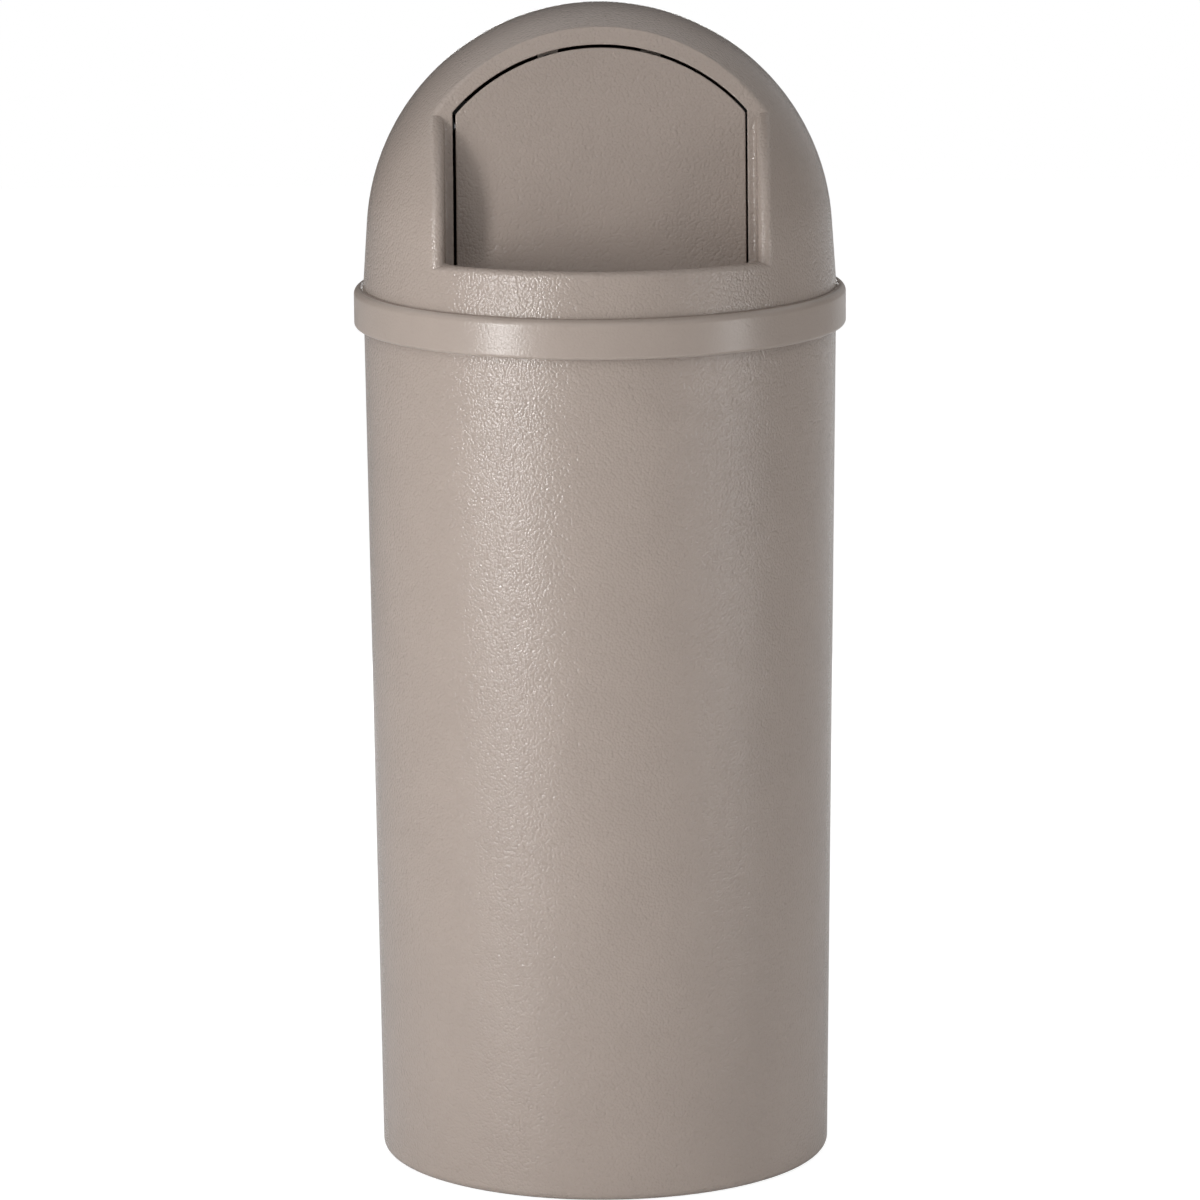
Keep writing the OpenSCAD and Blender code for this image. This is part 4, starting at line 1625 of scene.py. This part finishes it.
@dataclass
class Tub:
    """Round container with a foot ring, a rolled rim and the hoop that clamps the bag.

    Attributes:
        plan: The shared sizes.
        taper: How much smaller the base's radius is than the neck's.
        wall: Thickness of the wall.
        floor_t: Thickness of the floor.
        base_recess: Height of the floor's underside over the foot ring.
        base_edge_r: Radius of the base's outer edge.
        foot_w: Width of the foot ring.
        recess_slope: How much narrower the recess is at its top.
        rim_fit: Gap between the rim and the skirt, all round.
        rim_reach: How far the rim stands out of the neck.
        rim_lip_h: Height of the rim's turned-down lip.
        rim_t: Thickness of the rim.
        band_h: Height of the hoop.
        band_t: Thickness of the hoop.
        band_gap: Gap between the neck and the hoop, all round.
        band_play: Gap between the rim's lip and the hoop.
        bead_h: Height of the bead that stops the hoop.
        bead_short: How much less the bead stands out than the hoop.
        steps: Number of steps round.
    """

    plan: Plan
    taper: float = 7.4
    wall: float = 3.2
    floor_t: float = 4.0
    base_recess: float = 8.0
    base_edge_r: float = 6.0
    foot_w: float = 16.0
    recess_slope: float = 4.0
    rim_fit: float = 0.45
    rim_reach: float = 4.0
    rim_lip_h: float = 7.0
    rim_t: float = 2.6
    band_h: float = 7.6
    band_t: float = 2.0
    band_gap: float = 0.3
    band_play: float = 0.3
    bead_h: float = 1.6
    bead_short: float = 0.5
    steps: int = 256

    @property
    def neck_r(self) -> float:
        """Outer radius of the neck under the rim."""
        return self.rim_r - self.rim_reach

    @property
    def rim_r(self) -> float:
        """Outer radius of the rolled rim."""
        return self.plan.skirt_r - self.plan.skirt_wall - self.rim_fit

    @property
    def band_z(self) -> float:
        """Height of the hoop's lower edge."""
        return self.plan.container_h - self.rim_lip_h - self.band_play - self.band_h

    def outline(self) -> Outline:
        """Return the container's outline, from the underside's middle round to the floor's."""
        top, neck, wall = self.plan.container_h, self.neck_r, self.wall
        base_r = neck - self.taper
        foot_inner = base_r - self.base_edge_r - self.foot_w
        bead_r = neck + self.band_gap + self.band_t - self.bead_short
        lip_r, lip_z = self.rim_r - self.rim_t, top - self.rim_lip_h
        ring_top, ring_low = self.band_z, self.band_z - self.bead_h
        slope = self.taper / (lip_z - self.base_edge_r)
        corners = [
            (foot_inner - self.recess_slope, self.base_recess, 2.0),
            (foot_inner, 0.0, 2.0),
            (base_r - slope * self.base_edge_r, 0.0, self.base_edge_r),
            (neck - (lip_z - ring_low) * slope, ring_low, 0.3),
            (bead_r, ring_low, 0.4),
            (bead_r, ring_top, 0.4),
            (neck - (lip_z - ring_top) * slope, ring_top, 0.3),
            (neck, lip_z, 0.0),
            (neck, top - self.rim_t, 0.5),
            (lip_r, top - self.rim_t, 0.5),
            (lip_r, lip_z, 0.5),
            (self.rim_r, lip_z, 0.8),
            (self.rim_r, top, 1.2),
            (neck - wall, top, 1.4),
            (neck - wall, lip_z, 0.0),
            (base_r - wall, self.base_recess + self.floor_t, 5.0),
        ]
        start, end = (0.0, self.base_recess, 0.0), (0.0, self.base_recess + self.floor_t, 0.0)
        return filleted([start, *corners, end], 6)

    def build(self) -> None:
        """Build the container and the hoop, and dress them."""
        up = Vector((0, 0, 1))
        tub = Workbench.turned("container_shell", self.outline(), Vector(), up, self.steps, closed=False)
        Workbench.smooth(tub)
        dress(tub, Finish.TUB, "container", "container_body")
        inner, outer = self.neck_r + self.band_gap, self.neck_r + self.band_gap + self.band_t
        low, high = self.band_z, self.band_z + self.band_h
        hoop = filleted([(inner, low, 0.4), (outer, low, 0.7), (outer, high, 0.7), (inner, high, 0.4)], 4)
        band = Workbench.turned("liner_hoop", hoop, Vector(), up, self.steps)
        Workbench.smooth(band)
        dress(band, Finish.BAND, "container", "liner_band")


# ---- door ----


@dataclass
class Door:
    """Push door: a flat panel with a turned edge, ribs and hinge bosses.

    Attributes:
        plan: The shared sizes.
        face_edge_r: Radius of the front face's edge.
        back_edge_r: Radius of the other edges.
        rib_short: How much less the ribs stand out than the turned edge.
        root: How far ribs and saddles reach into the panel.
        rib_below: Distance of the cross rib under the springs' feet.
        saddle_in: How much narrower the saddles are than the bosses, on each side.
        saddle_edge_r: Radius of the saddles' edges.
    """

    plan: Plan
    face_edge_r: float = 0.9
    back_edge_r: float = 0.5
    rib_short: float = 0.4
    root: float = 0.6
    rib_below: float = 8.0
    saddle_in: float = 0.4
    saddle_edge_r: float = 0.4

    @property
    def rib_x(self) -> float:
        """Distance of the upright ribs from the middle."""
        return self.plan.arm_x - self.plan.coil_pitch - self.plan.rib_inset

    @property
    def cross_rib_u(self) -> float:
        """Height of the cross rib's lower side."""
        return self.plan.hinge_u - self.plan.arm_reach - self.plan.arm_foot - self.rib_below

    def place(self, x: float, u: float, n: float) -> Vector:
        """Return a point in the door's own directions, with its sideways play."""
        return self.plan.on_doorway(x + self.plan.side_play, u, n)

    def height_out(self, point: Vector) -> float:
        """Return how far a point, in metres, stands out of the doorway's face, in millimetres."""
        return (point / MM - self.plan.foot).dot(self.plan.out)

    def panel(self) -> bpy.types.Object:
        """Build the panel with its turned edge."""
        plan = self.plan
        low = plan.sill_u + plan.sill_gap
        outline = arched(plan.door_half_w, plan.door_r, plan.arch_drop, low, plan.door_corner_r)
        panel = Workbench.ring("door_panel", [self.place(x, u, 0) * MM for x, u in outline], filled=True)
        back = plan.out * (-plan.door_depth * MM)
        hollow = plan.out * ((plan.door_depth - plan.door_t) * MM)
        with Workbench.editing(panel):
            bpy.ops.mesh.select_all(action="SELECT")
            bpy.ops.mesh.extrude_region_move(TRANSFORM_OT_translate={"value": back})
            bpy.ops.mesh.inset(thickness=plan.door_rib_t * MM, depth=0)
            bpy.ops.mesh.extrude_region_move(TRANSFORM_OT_translate={"value": hollow})
        Workbench.close(panel, Workbench.FINE_MERGE)
        edges = ((0.0, self.face_edge_r, 4), (-plan.door_depth, self.back_edge_r, 3))
        near = 0.05
        with Workbench.editing(panel):
            for level, edge_r, segments in edges:
                Workbench.mark_edges(
                    panel, lambda *ends: all(abs(self.height_out(p) - level) < near for p in ends)
                )
                bpy.ops.mesh.bevel(offset=edge_r * MM, segments=segments, affect="EDGES")
        return panel

    def ribs(self) -> list[bpy.types.Object]:
        """Build the two upright ribs and the cross rib on the panel's back."""
        plan, half = self.plan, self.plan.door_rib_t / 2
        low = plan.sill_u + plan.sill_gap + half
        high = math.sqrt(plan.door_r**2 - self.rib_x**2) - plan.arch_drop - half
        back, front = self.rib_short - plan.door_depth, self.root - plan.door_t
        reach, cross_u = plan.door_half_w - half, self.cross_rib_u
        sides = [(side * self.rib_x - half, low, side * self.rib_x + half, high) for side in (-1, 1)]
        return [
            Workbench.block(
                "rib", Vector((x, u, back)), Vector((end_x, end_u, front)), self.place, self.back_edge_r
            )
            for x, u, end_x, end_u in (*sides, (-reach, cross_u, reach, cross_u + plan.door_rib_t))
        ]

    def bosses(self) -> list[bpy.types.Object]:
        """Build the two hinge bosses and the saddles that carry them."""
        plan, made, end_in, saddle_back = self.plan, [], 0.3, 0.5
        axis = Vector((1, 0, 0))
        origin = self.place(0, plan.hinge_u, -plan.hinge_depth)
        bore_r, boss_r = plan.rod_d / 2 + plan.rod_gap, plan.boss_d / 2
        back, front = saddle_back - plan.hinge_depth, self.root - plan.door_t
        for low in (-plan.door_half_w, plan.door_half_w - plan.boss_l):
            high = low + plan.boss_l
            outline = filleted(
                [(bore_r, low, 0.3), (boss_r, low, 0.6), (boss_r, high, 0.6), (bore_r, high, 0.3)], 3
            )
            made.append(Workbench.turned("boss", outline, origin, axis, 48))
            for side in (-1, 1):
                near, far = sorted((side * (bore_r + self.saddle_in), side * (boss_r - self.saddle_in)))
                start = Vector((low + end_in, plan.hinge_u + near, back))
                end = Vector((high - end_in, plan.hinge_u + far, front))
                made.append(Workbench.block("saddle", start, end, self.place, self.saddle_edge_r))
        return made

    def build(self) -> None:
        """Build the door and dress it."""
        door = Workbench.join("door_flap", [self.panel(), *self.ribs(), *self.bosses()])
        Workbench.smooth(door)
        dress(door, Finish.DOOR, "door", "push_door")


# ---- hinge ----


@dataclass
class HingeSet:
    """Hinge rod, brackets, bushes, washers, caps, screws, bumpers and springs.

    Attributes:
        plan: The shared sizes.
        fixed_leg_l: Length of a spring's fixed leg, up from the coil.
        arm_drop: Where the moving leg starts to lean towards the door, under the coil.
        arm_bend: Length of the bend that lays its foot on the door.
        arm_lift: How far the foot's bend starts off the door.
        turn_rings: Number of rings of points in one turn of a spring.
        bush_r: Outer radius of the bushes.
        flange_r: Radius of the washers and of the bushes' flanges.
        cap_r: Radius of the rod's caps.
        cap_l: Length of the caps.
        cap_grip: How much of a cap holds the rod.
        ear_t: Thickness of the brackets' ears.
        ear_front: Depth at which an ear leaves its plate.
        bracket_w: Width of a bracket's plate beside the ear's inner face.
        plate_end: How far the plate runs past the screws.
        tab_reach: How far the tab for the spring's fixed leg runs past it.
        tab_rise: Height of the tab's lower edge over the ear.
        plate_edge_r: Radius of the brackets' edges.
        head_r: Radius of the screws' heads.
        head_h: Height of the heads.
        recess_arm: Reach of the cross recess from its middle.
        recess_half_w: Half the width of its arms.
        recess_depth: Depth of the recess.
        bumper_r: Radius of the bumpers' heads.
        button_r: Radius of the buttons behind the lugs.
        button_t: Thickness of the buttons.
    """

    plan: Plan
    fixed_leg_l: float = 15.0
    arm_drop: float = 8.0
    arm_bend: float = 4.0
    arm_lift: float = 0.6
    turn_rings: int = 28
    bush_r: float = 4.5
    flange_r: float = 6.0
    cap_r: float = 5.5
    cap_l: float = 6.0
    cap_grip: float = 4.5
    ear_t: float = 3.0
    ear_front: float = 4.5
    bracket_w: float = 8.6
    plate_end: float = 5.0
    tab_reach: float = 8.0
    tab_rise: float = 0.8
    plate_edge_r: float = 0.25
    head_r: float = 2.8
    head_h: float = 2.0
    recess_arm: float = 1.6
    recess_half_w: float = 0.4
    recess_depth: float = 1.2
    bumper_r: float = 5.5
    button_r: float = 3.5
    button_t: float = 1.4

    @property
    def cap_x(self) -> float:
        """Place where the rod's caps begin."""
        return self.plan.ear_x + self.ear_t + self.plan.free_gap

    def place(self, x: float, u: float, n: float) -> Vector:
        """Return a point from the hinge's axis, in the doorway's directions."""
        return self.plan.on_doorway(x, self.plan.hinge_u + u, n - self.plan.hinge_depth)

    def coil(self, start: float, turns: int) -> list[Vector]:
        """Return the points of a coil that starts behind the rod."""
        pitch, radius, points = self.plan.coil_pitch, self.plan.coil_r, []
        for i in range(turns * self.turn_rings + 1):
            share = i / self.turn_rings
            angle = math.pi + 2 * math.pi * share
            points.append(Vector((start - pitch * share, radius * math.sin(angle), radius * math.cos(angle))))
        return points

    def springs(self, side: int, word: str) -> None:
        """Build one side's spring and its moving leg, and dress them."""
        plan = self.plan
        leg = Vector((plan.spring_x, self.fixed_leg_l, -plan.coil_r))
        fixed = [leg, *self.coil(plan.spring_x, plan.coil_turns)]
        end_x = plan.arm_x - plan.coil_pitch
        touch = plan.hinge_depth - plan.door_t - plan.wire_d / 2 - plan.free_gap
        arm = self.coil(plan.arm_x, 1) + [
            Vector((end_x, -self.arm_drop, -plan.coil_r)),
            Vector((end_x, self.arm_bend - plan.arm_reach, touch - self.arm_lift)),
            Vector((end_x, -plan.arm_reach, touch)),
            Vector((end_x, -plan.arm_reach - plan.arm_foot, touch)),
        ]
        for points, name, node, body in (
            (fixed, "spring_coil_", "door_spring_", "dome"),
            (arm, "spring_leg_", "spring_arm_", "door"),
        ):
            placed = [self.place(side * p.x, p.y, p.z) for p in points]
            piece = Workbench.wire(name + word, placed, plan.wire_d)
            Workbench.smooth(piece, math.radians(60))
            dress(piece, Finish.SPRING, body, node + word)

    def on_rod(
        self, name: str, side: int, corners: Sequence[Corner], closed: bool = True, steps: int = 56
    ) -> bpy.types.Object:
        """Turn an outline with rounded corners round the hinge's axis, out from the middle."""
        return Workbench.turned(
            name, filleted(corners, 4), self.place(0, 0, 0), Vector((side, 0, 0)), steps, closed
        )

    def bracket(self, side: int) -> bpy.types.Object:
        """Build one side's bracket: a plate with a tab for the spring and an ear for the bush."""
        plan = self.plan
        (x, low), (_, high) = plan.screw_places
        tab_x, tab_low = plan.spring_x - self.tab_reach, plan.hinge_u + plan.ear_r + self.tab_rise
        right, low, high = plan.ear_x + self.bracket_w, low - self.plate_end, high + self.plate_end
        outline = filleted(
            [
                (plan.ear_x, low, 1.5), (right, low, 1.5), (right, high, 1.5),
                (tab_x, high, 1.5), (tab_x, tab_low, 1.5), (plan.ear_x, tab_low, 1.0),
            ],
            5,
        )
        back = -plan.bracket_face - plan.bracket_t
        ring = [plan.on_doorway(side * a, u, back) for a, u in outline]
        plate = Workbench.prism("plate", ring, plan.out * plan.bracket_t)
        hole_r, depth = plan.screw_d / 2 + plan.free_gap, plan.bracket_face - 2
        hole = [(0, depth), (hole_r, depth), (hole_r, depth + 8), (0, depth + 8)]
        holes = [
            Workbench.turned("hole", hole, plan.on_doorway(side * x, u, 0), -plan.out, 32, closed=False)
            for _, u in plan.screw_places
        ]
        room_r, end = self.cap_r + plan.free_gap, plan.ear_x + self.ear_t
        room = [(0, end, 0), (room_r, end, 0), (room_r, right + 2, 0), (0, right + 2, 0)]
        Workbench.cut(plate, self.on_rod("room", side, room, False), *holes)
        flat = math.asin((plan.hinge_depth - self.ear_front) / plan.ear_r)
        round_ear = arc((0, 0), plan.ear_r, math.pi - flat, 2 * math.pi + flat, 40)
        ring = [self.place(side * plan.ear_x, u, n) for u, n in round_ear]
        ear = Workbench.prism("ear", ring, Vector((side * self.ear_t, 0, 0)))
        bore_r, start = self.bush_r + plan.push_gap, plan.ear_x - 1
        bore = [(0, start, 0), (bore_r, start, 0), (bore_r, end + 1, 0), (0, end + 1, 0)]
        Workbench.cut(ear, self.on_rod("bore", side, bore, False))
        for piece in (plate, ear):
            Workbench.soften(piece, self.plate_edge_r)
        return Workbench.join("bracket", [plate, ear])

    def screws(self, side: int) -> bpy.types.Object:
        """Build one side's two pan head screws with their cross recesses."""
        plan, made = self.plan, []
        back, shank_r = plan.bracket_face + plan.bracket_t, plan.screw_d / 2
        outline = filleted(
            [
                (0, back + self.head_h, 0), (self.head_r, back + self.head_h, 1.3), (self.head_r, back, 0.1),
                (shank_r, back, 0), (shank_r, back - plan.screw_l, 0.5), (0, back - plan.screw_l, 0),
            ],
            5,
        )
        # A quarter of the cross, as complex numbers that a power of 1j turns
        long, short, past, edge = self.recess_arm, self.recess_half_w, 1.0, 0.1
        quarter = (complex(long, -short), complex(long, short), complex(short, short))
        cross = [spot * 1j**turns for turns in range(4) for spot in quarter]
        top = -back - self.head_h - past
        for x, u in plan.screw_places:
            origin = plan.on_doorway(side * x, u, 0)
            screw = Workbench.turned("screw", outline, origin, -plan.out, 40, closed=False)
            ring = [plan.on_doorway(side * x + spot.real, u + spot.imag, top) for spot in cross]
            recess = Workbench.prism("recess", ring, plan.out * (past + self.recess_depth))
            Workbench.soften(recess, edge)
            Workbench.cut(screw, recess)
            made.append(screw)
        return Workbench.join("screws", made)

    def bumper(self, side: int) -> bpy.types.Object:
        """Build one side's bumper: head, stem through the lug and button behind it."""
        plan, stem_r = self.plan, self.plan.stem_d / 2
        back, front = plan.lug_depth, plan.lug_depth - plan.lug_t
        top, end = front - plan.bumper_t, back + self.button_t
        outline = filleted(
            [
                (0, top, 0), (self.bumper_r, top, 1.0), (self.bumper_r, front, 0.3), (stem_r, front, 0),
                (stem_r, back, 0), (self.button_r, back, 0.2), (self.button_r, end, 0.6), (0, end, 0),
            ],
            4,
        )
        origin = plan.on_doorway(side * plan.bumper_x, plan.bumper_u, 0)
        return Workbench.turned("bumper", outline, origin, -plan.out, 48, closed=False)

    def build(self) -> None:
        """Build all pieces of the hinge and dress them."""
        plan = self.plan
        rod_r, cap_x = plan.rod_d / 2, self.cap_x
        bore_r, flange_r, bush_r, cap_r = rod_r + plan.rod_gap, self.flange_r, self.bush_r, self.cap_r
        reach, grip_r, cap_end = cap_x + self.cap_grip, rod_r + plan.push_gap, cap_x + self.cap_l
        washer_x, washer_end = plan.washer_x, plan.washer_x + plan.washer_t
        bush_x, ear_x, ear_end = plan.bush_x, plan.ear_x, plan.ear_x + self.ear_t
        rod = [(0, -reach, 0), (rod_r, -reach, 0.5), (rod_r, reach, 0.5), (0, reach, 0)]
        washer = [
            (bore_r, washer_x, 0.2), (flange_r, washer_x, 0.3),
            (flange_r, washer_end, 0.3), (bore_r, washer_end, 0.2),
        ]
        bush = [
            (bore_r, bush_x, 0.2), (flange_r, bush_x, 0.4), (flange_r, ear_x, 0.2),
            (bush_r, ear_x, 0), (bush_r, ear_end, 0.3), (bore_r, ear_end, 0.2),
        ]
        cap = [
            (0, cap_end, 0), (cap_r, cap_end, 1.5), (cap_r, cap_x, 0.4),
            (grip_r, cap_x, 0.3), (grip_r, reach, 0), (0, reach, 0),
        ]
        self.dressed(self.on_rod("rod", 1, rod, False), "rod_turned", Finish.ZINC, "hinge_rod")
        for side, word in ((-1, "left"), (1, "right")):
            self.springs(side, word)
            # The washers, bushes and brackets are near black partly as painted shade for the gap round the
            # door.
            for piece, name, finish, node in (
                (self.on_rod("washer", side, washer), "washer_", Finish.NYLON, "hinge_washer_"),
                (self.on_rod("bush", side, bush), "bush_", Finish.NYLON, "hinge_bush_"),
                (self.on_rod("cap", side, cap, False), "cap_", Finish.RUBBER, "rod_cap_"),
                (self.bracket(side), "bracket_", Finish.BLACK, "hinge_bracket_"),
                (self.screws(side), "screws_", Finish.ZINC, "bracket_screws_"),
                (self.bumper(side), "bumper_", Finish.RUBBER, "door_bumper_"),
            ):
                self.dressed(piece, name + word, finish, node + word)

    @staticmethod
    def dressed(piece: bpy.types.Object, name: str, finish: Finish, node: str) -> None:
        """Name a piece that stays with the hood, smooth it and dress it."""
        piece.name = piece.data.name = name
        Workbench.smooth(piece)
        dress(piece, finish, "dome", node)


# ---- photograph ----


@dataclass(frozen=True)
class PhotoCamera:
    """The photograph's camera, worked out from the object's outline.

    Attributes:
        distance: Distance from the object's axis, level, in metres.
        height: Height over the floor, in metres.
        pitch: How far it looks down, in degrees.
        azimuth: How far it stands to the right of the doorway's middle, in degrees.
        yaw: How far it looks to the left of the object's axis, in degrees.
        roll: How far its right side is lifted, in degrees.
        field: Width of its view, in degrees.
        sight: How far it sees, in metres.
    """

    distance: float = 5.1805
    height: float = 1.4589
    pitch: float = 11.046
    azimuth: float = -0.73
    yaw: float = 0.0174
    roll: float = -0.4
    field: float = 10.41
    sight: float = 50.0

    def build(self) -> None:
        """Make the camera the scene's own."""
        turn = math.radians(self.azimuth)
        bpy.ops.object.camera_add()
        camera = bpy.context.object
        camera.name = "photo_camera"
        camera.data.angle = math.radians(self.field)
        camera.matrix_world = (
            Matrix.Translation(round_axis(turn, self.distance, self.height))
            @ Matrix.Rotation(turn + math.radians(self.yaw), 4, "Z")
            @ Matrix.Rotation(math.radians(90 - self.pitch), 4, "X")
            @ Matrix.Rotation(math.radians(self.roll), 4, "Z")
        )
        camera.data.clip_end = self.sight
        bpy.context.scene.camera = camera


@dataclass(frozen=True)
class Softbox:
    """A large flat lamp on a stand.

    Attributes:
        name: Its name.
        azimuth: Where it stands, in degrees to the right of the camera.
        distance: Distance from the object's axis, in metres.
        low: Height of its lower edge, in metres.
        high: Height of its upper edge, in metres.
        width: Width, in metres.
        power: Power, in watts.
        aim_z: Height that it points at, in metres.
    """

    name: str
    azimuth: float
    distance: float
    low: float
    high: float
    width: float
    power: float
    aim_z: float = 0.5

    def build(self) -> None:
        """Hang the lamp."""
        place = round_axis(math.radians(self.azimuth), self.distance, (self.low + self.high) / 2)
        bpy.ops.object.light_add(type="AREA", location=place)
        lamp = bpy.context.object
        lamp.name = self.name
        lamp.data.shape = "RECTANGLE"
        lamp.data.size = self.width
        lamp.data.size_y = self.high - self.low
        lamp.data.energy = self.power
        lamp.visible_camera = False
        aim = Vector((0, 0, self.aim_z)) - place
        lamp.rotation_euler = aim.to_track_quat("-Z", "Y").to_euler()


@dataclass(frozen=True)
class Studio:
    """White studio: floor, world and softboxes.

    Attributes:
        sky: Rising sines of elevation, each with the strength of the light from there.
        floor_size: Side of the floor, in metres.
        floor_drop: How far the floor lies under the object, in metres.
        floor_tint: Linear grey of the floor.
        floor_glow: Brightness of the floor's own white, which the camera alone sees.
        glow_share: Share of that white in what the camera sees of the floor.
        lamps: The softboxes.
    """

    sky: tuple[Spot, ...] = ((0.0, 0.08), (0.4, 0.1), (0.62, 0.82), (0.78, 0.82), (0.92, 0.07))
    floor_size: float = 12.0
    floor_drop: float = 0.0005
    floor_tint: float = 0.86
    floor_glow: float = 1.3
    glow_share: float = 0.7
    lamps: tuple[Softbox, ...] = (
        Softbox("key_left", -44, 1.35, 0.02, 0.95, 0.18, 4.5),
        Softbox("key_upper", -44, 1.33, 0.42, 0.95, 0.18, 5.0),
        Softbox("edge_right", 60, 1.35, 0.1, 0.95, 0.15, 3.2),
        Softbox("high_left", -40, 1.35, 0.95, 1.7, 0.48, 2.4),
        Softbox("high_front", 0, 2.5, 1.0, 2.2, 1.06, 2.3),
        Softbox("rear_middle", 180, 2.0, 0.05, 0.85, 0.44, 8.0),
        Softbox("rear_right", 150, 2.0, 0.02, 1.4, 1.0, 1.4),
    )

    def build(self) -> None:
        """Build the studio."""
        self.build_world()
        self.build_floor()
        for lamp in self.lamps:
            lamp.build()

    def build_world(self) -> None:
        """Light from all round, in bands of elevation; the camera sees plain white."""
        world = bpy.data.worlds.new("studio")
        bpy.context.scene.world = world
        world.use_nodes = True
        nodes = Nodes(world.node_tree)
        heading = nodes.wire("Generated", "ShaderNodeTexCoord", {}, {})
        sine = nodes.wire("Z", "ShaderNodeSeparateXYZ", {}, {0: heading})
        stops = [(place, (strength, strength, strength, 1)) for place, strength in self.sky]
        bands = nodes.wire("Color", "ShaderNodeValToRGB", {"stops": stops}, {"Fac": sine})
        path = nodes.node("ShaderNodeLightPath", {}, {})
        rays = [Wire(nodes, path.outputs[name]) for name in ("Is Camera Ray", "Is Transmission Ray")]
        seen = nodes.wire(0, "ShaderNodeMath", {"operation": "MAXIMUM"}, dict(enumerate(rays)))
        ends = {"To Min": bands, "To Max": 1.0}
        strength = nodes.wire("Result", "ShaderNodeMapRange", {}, {"Value": seen, **ends})
        background = nodes.tree.nodes["Background"]
        nodes.plug(background.inputs["Color"], (1, 1, 1, 1))
        nodes.plug(background.inputs["Strength"], strength)

    def build_floor(self) -> None:
        """Lay a pale floor that keeps the object's shadow and is white to the camera."""
        bpy.ops.object.select_all(action="DESELECT")
        bpy.ops.mesh.primitive_plane_add(size=self.floor_size, location=(0, 0, -self.floor_drop))
        floor = bpy.context.object
        floor.name = "studio_floor"
        shader = Shader("studio floor")
        shader.finish(Base_Color=(*(self.floor_tint,) * 3, 1), Roughness=0.9)
        pale = Wire(shader, shader.surface.outputs[0])
        camera_ray = shader.wire("Is Camera Ray", "ShaderNodeLightPath", {}, {})
        white = {"Color": (1, 1, 1, 1), "Strength": self.floor_glow}
        glow = shader.wire(0, "ShaderNodeEmission", {}, white)
        layers = {"Fac": camera_ray * self.glow_share, 1: pale, 2: glow}
        mixed = shader.wire(0, "ShaderNodeMixShader", {}, layers)
        shader.plug(shader.tree.nodes["Material Output"].inputs["Surface"], mixed)
        floor.data.materials.append(shader.material)


def main() -> None:
    """Build the camera, the receptacle and the studio."""
    logging.basicConfig(level=logging.INFO, format="%(name)s: %(message)s")
    PhotoCamera().build()
    plan = read_plan()
    for part in (Tub(plan), Hood(plan), Door(plan), HingeSet(plan)):
        part.build()
    bpy.context.scene.view_settings.view_transform = "Standard"
    Studio().build()


if __name__ == "__main__":
    main()
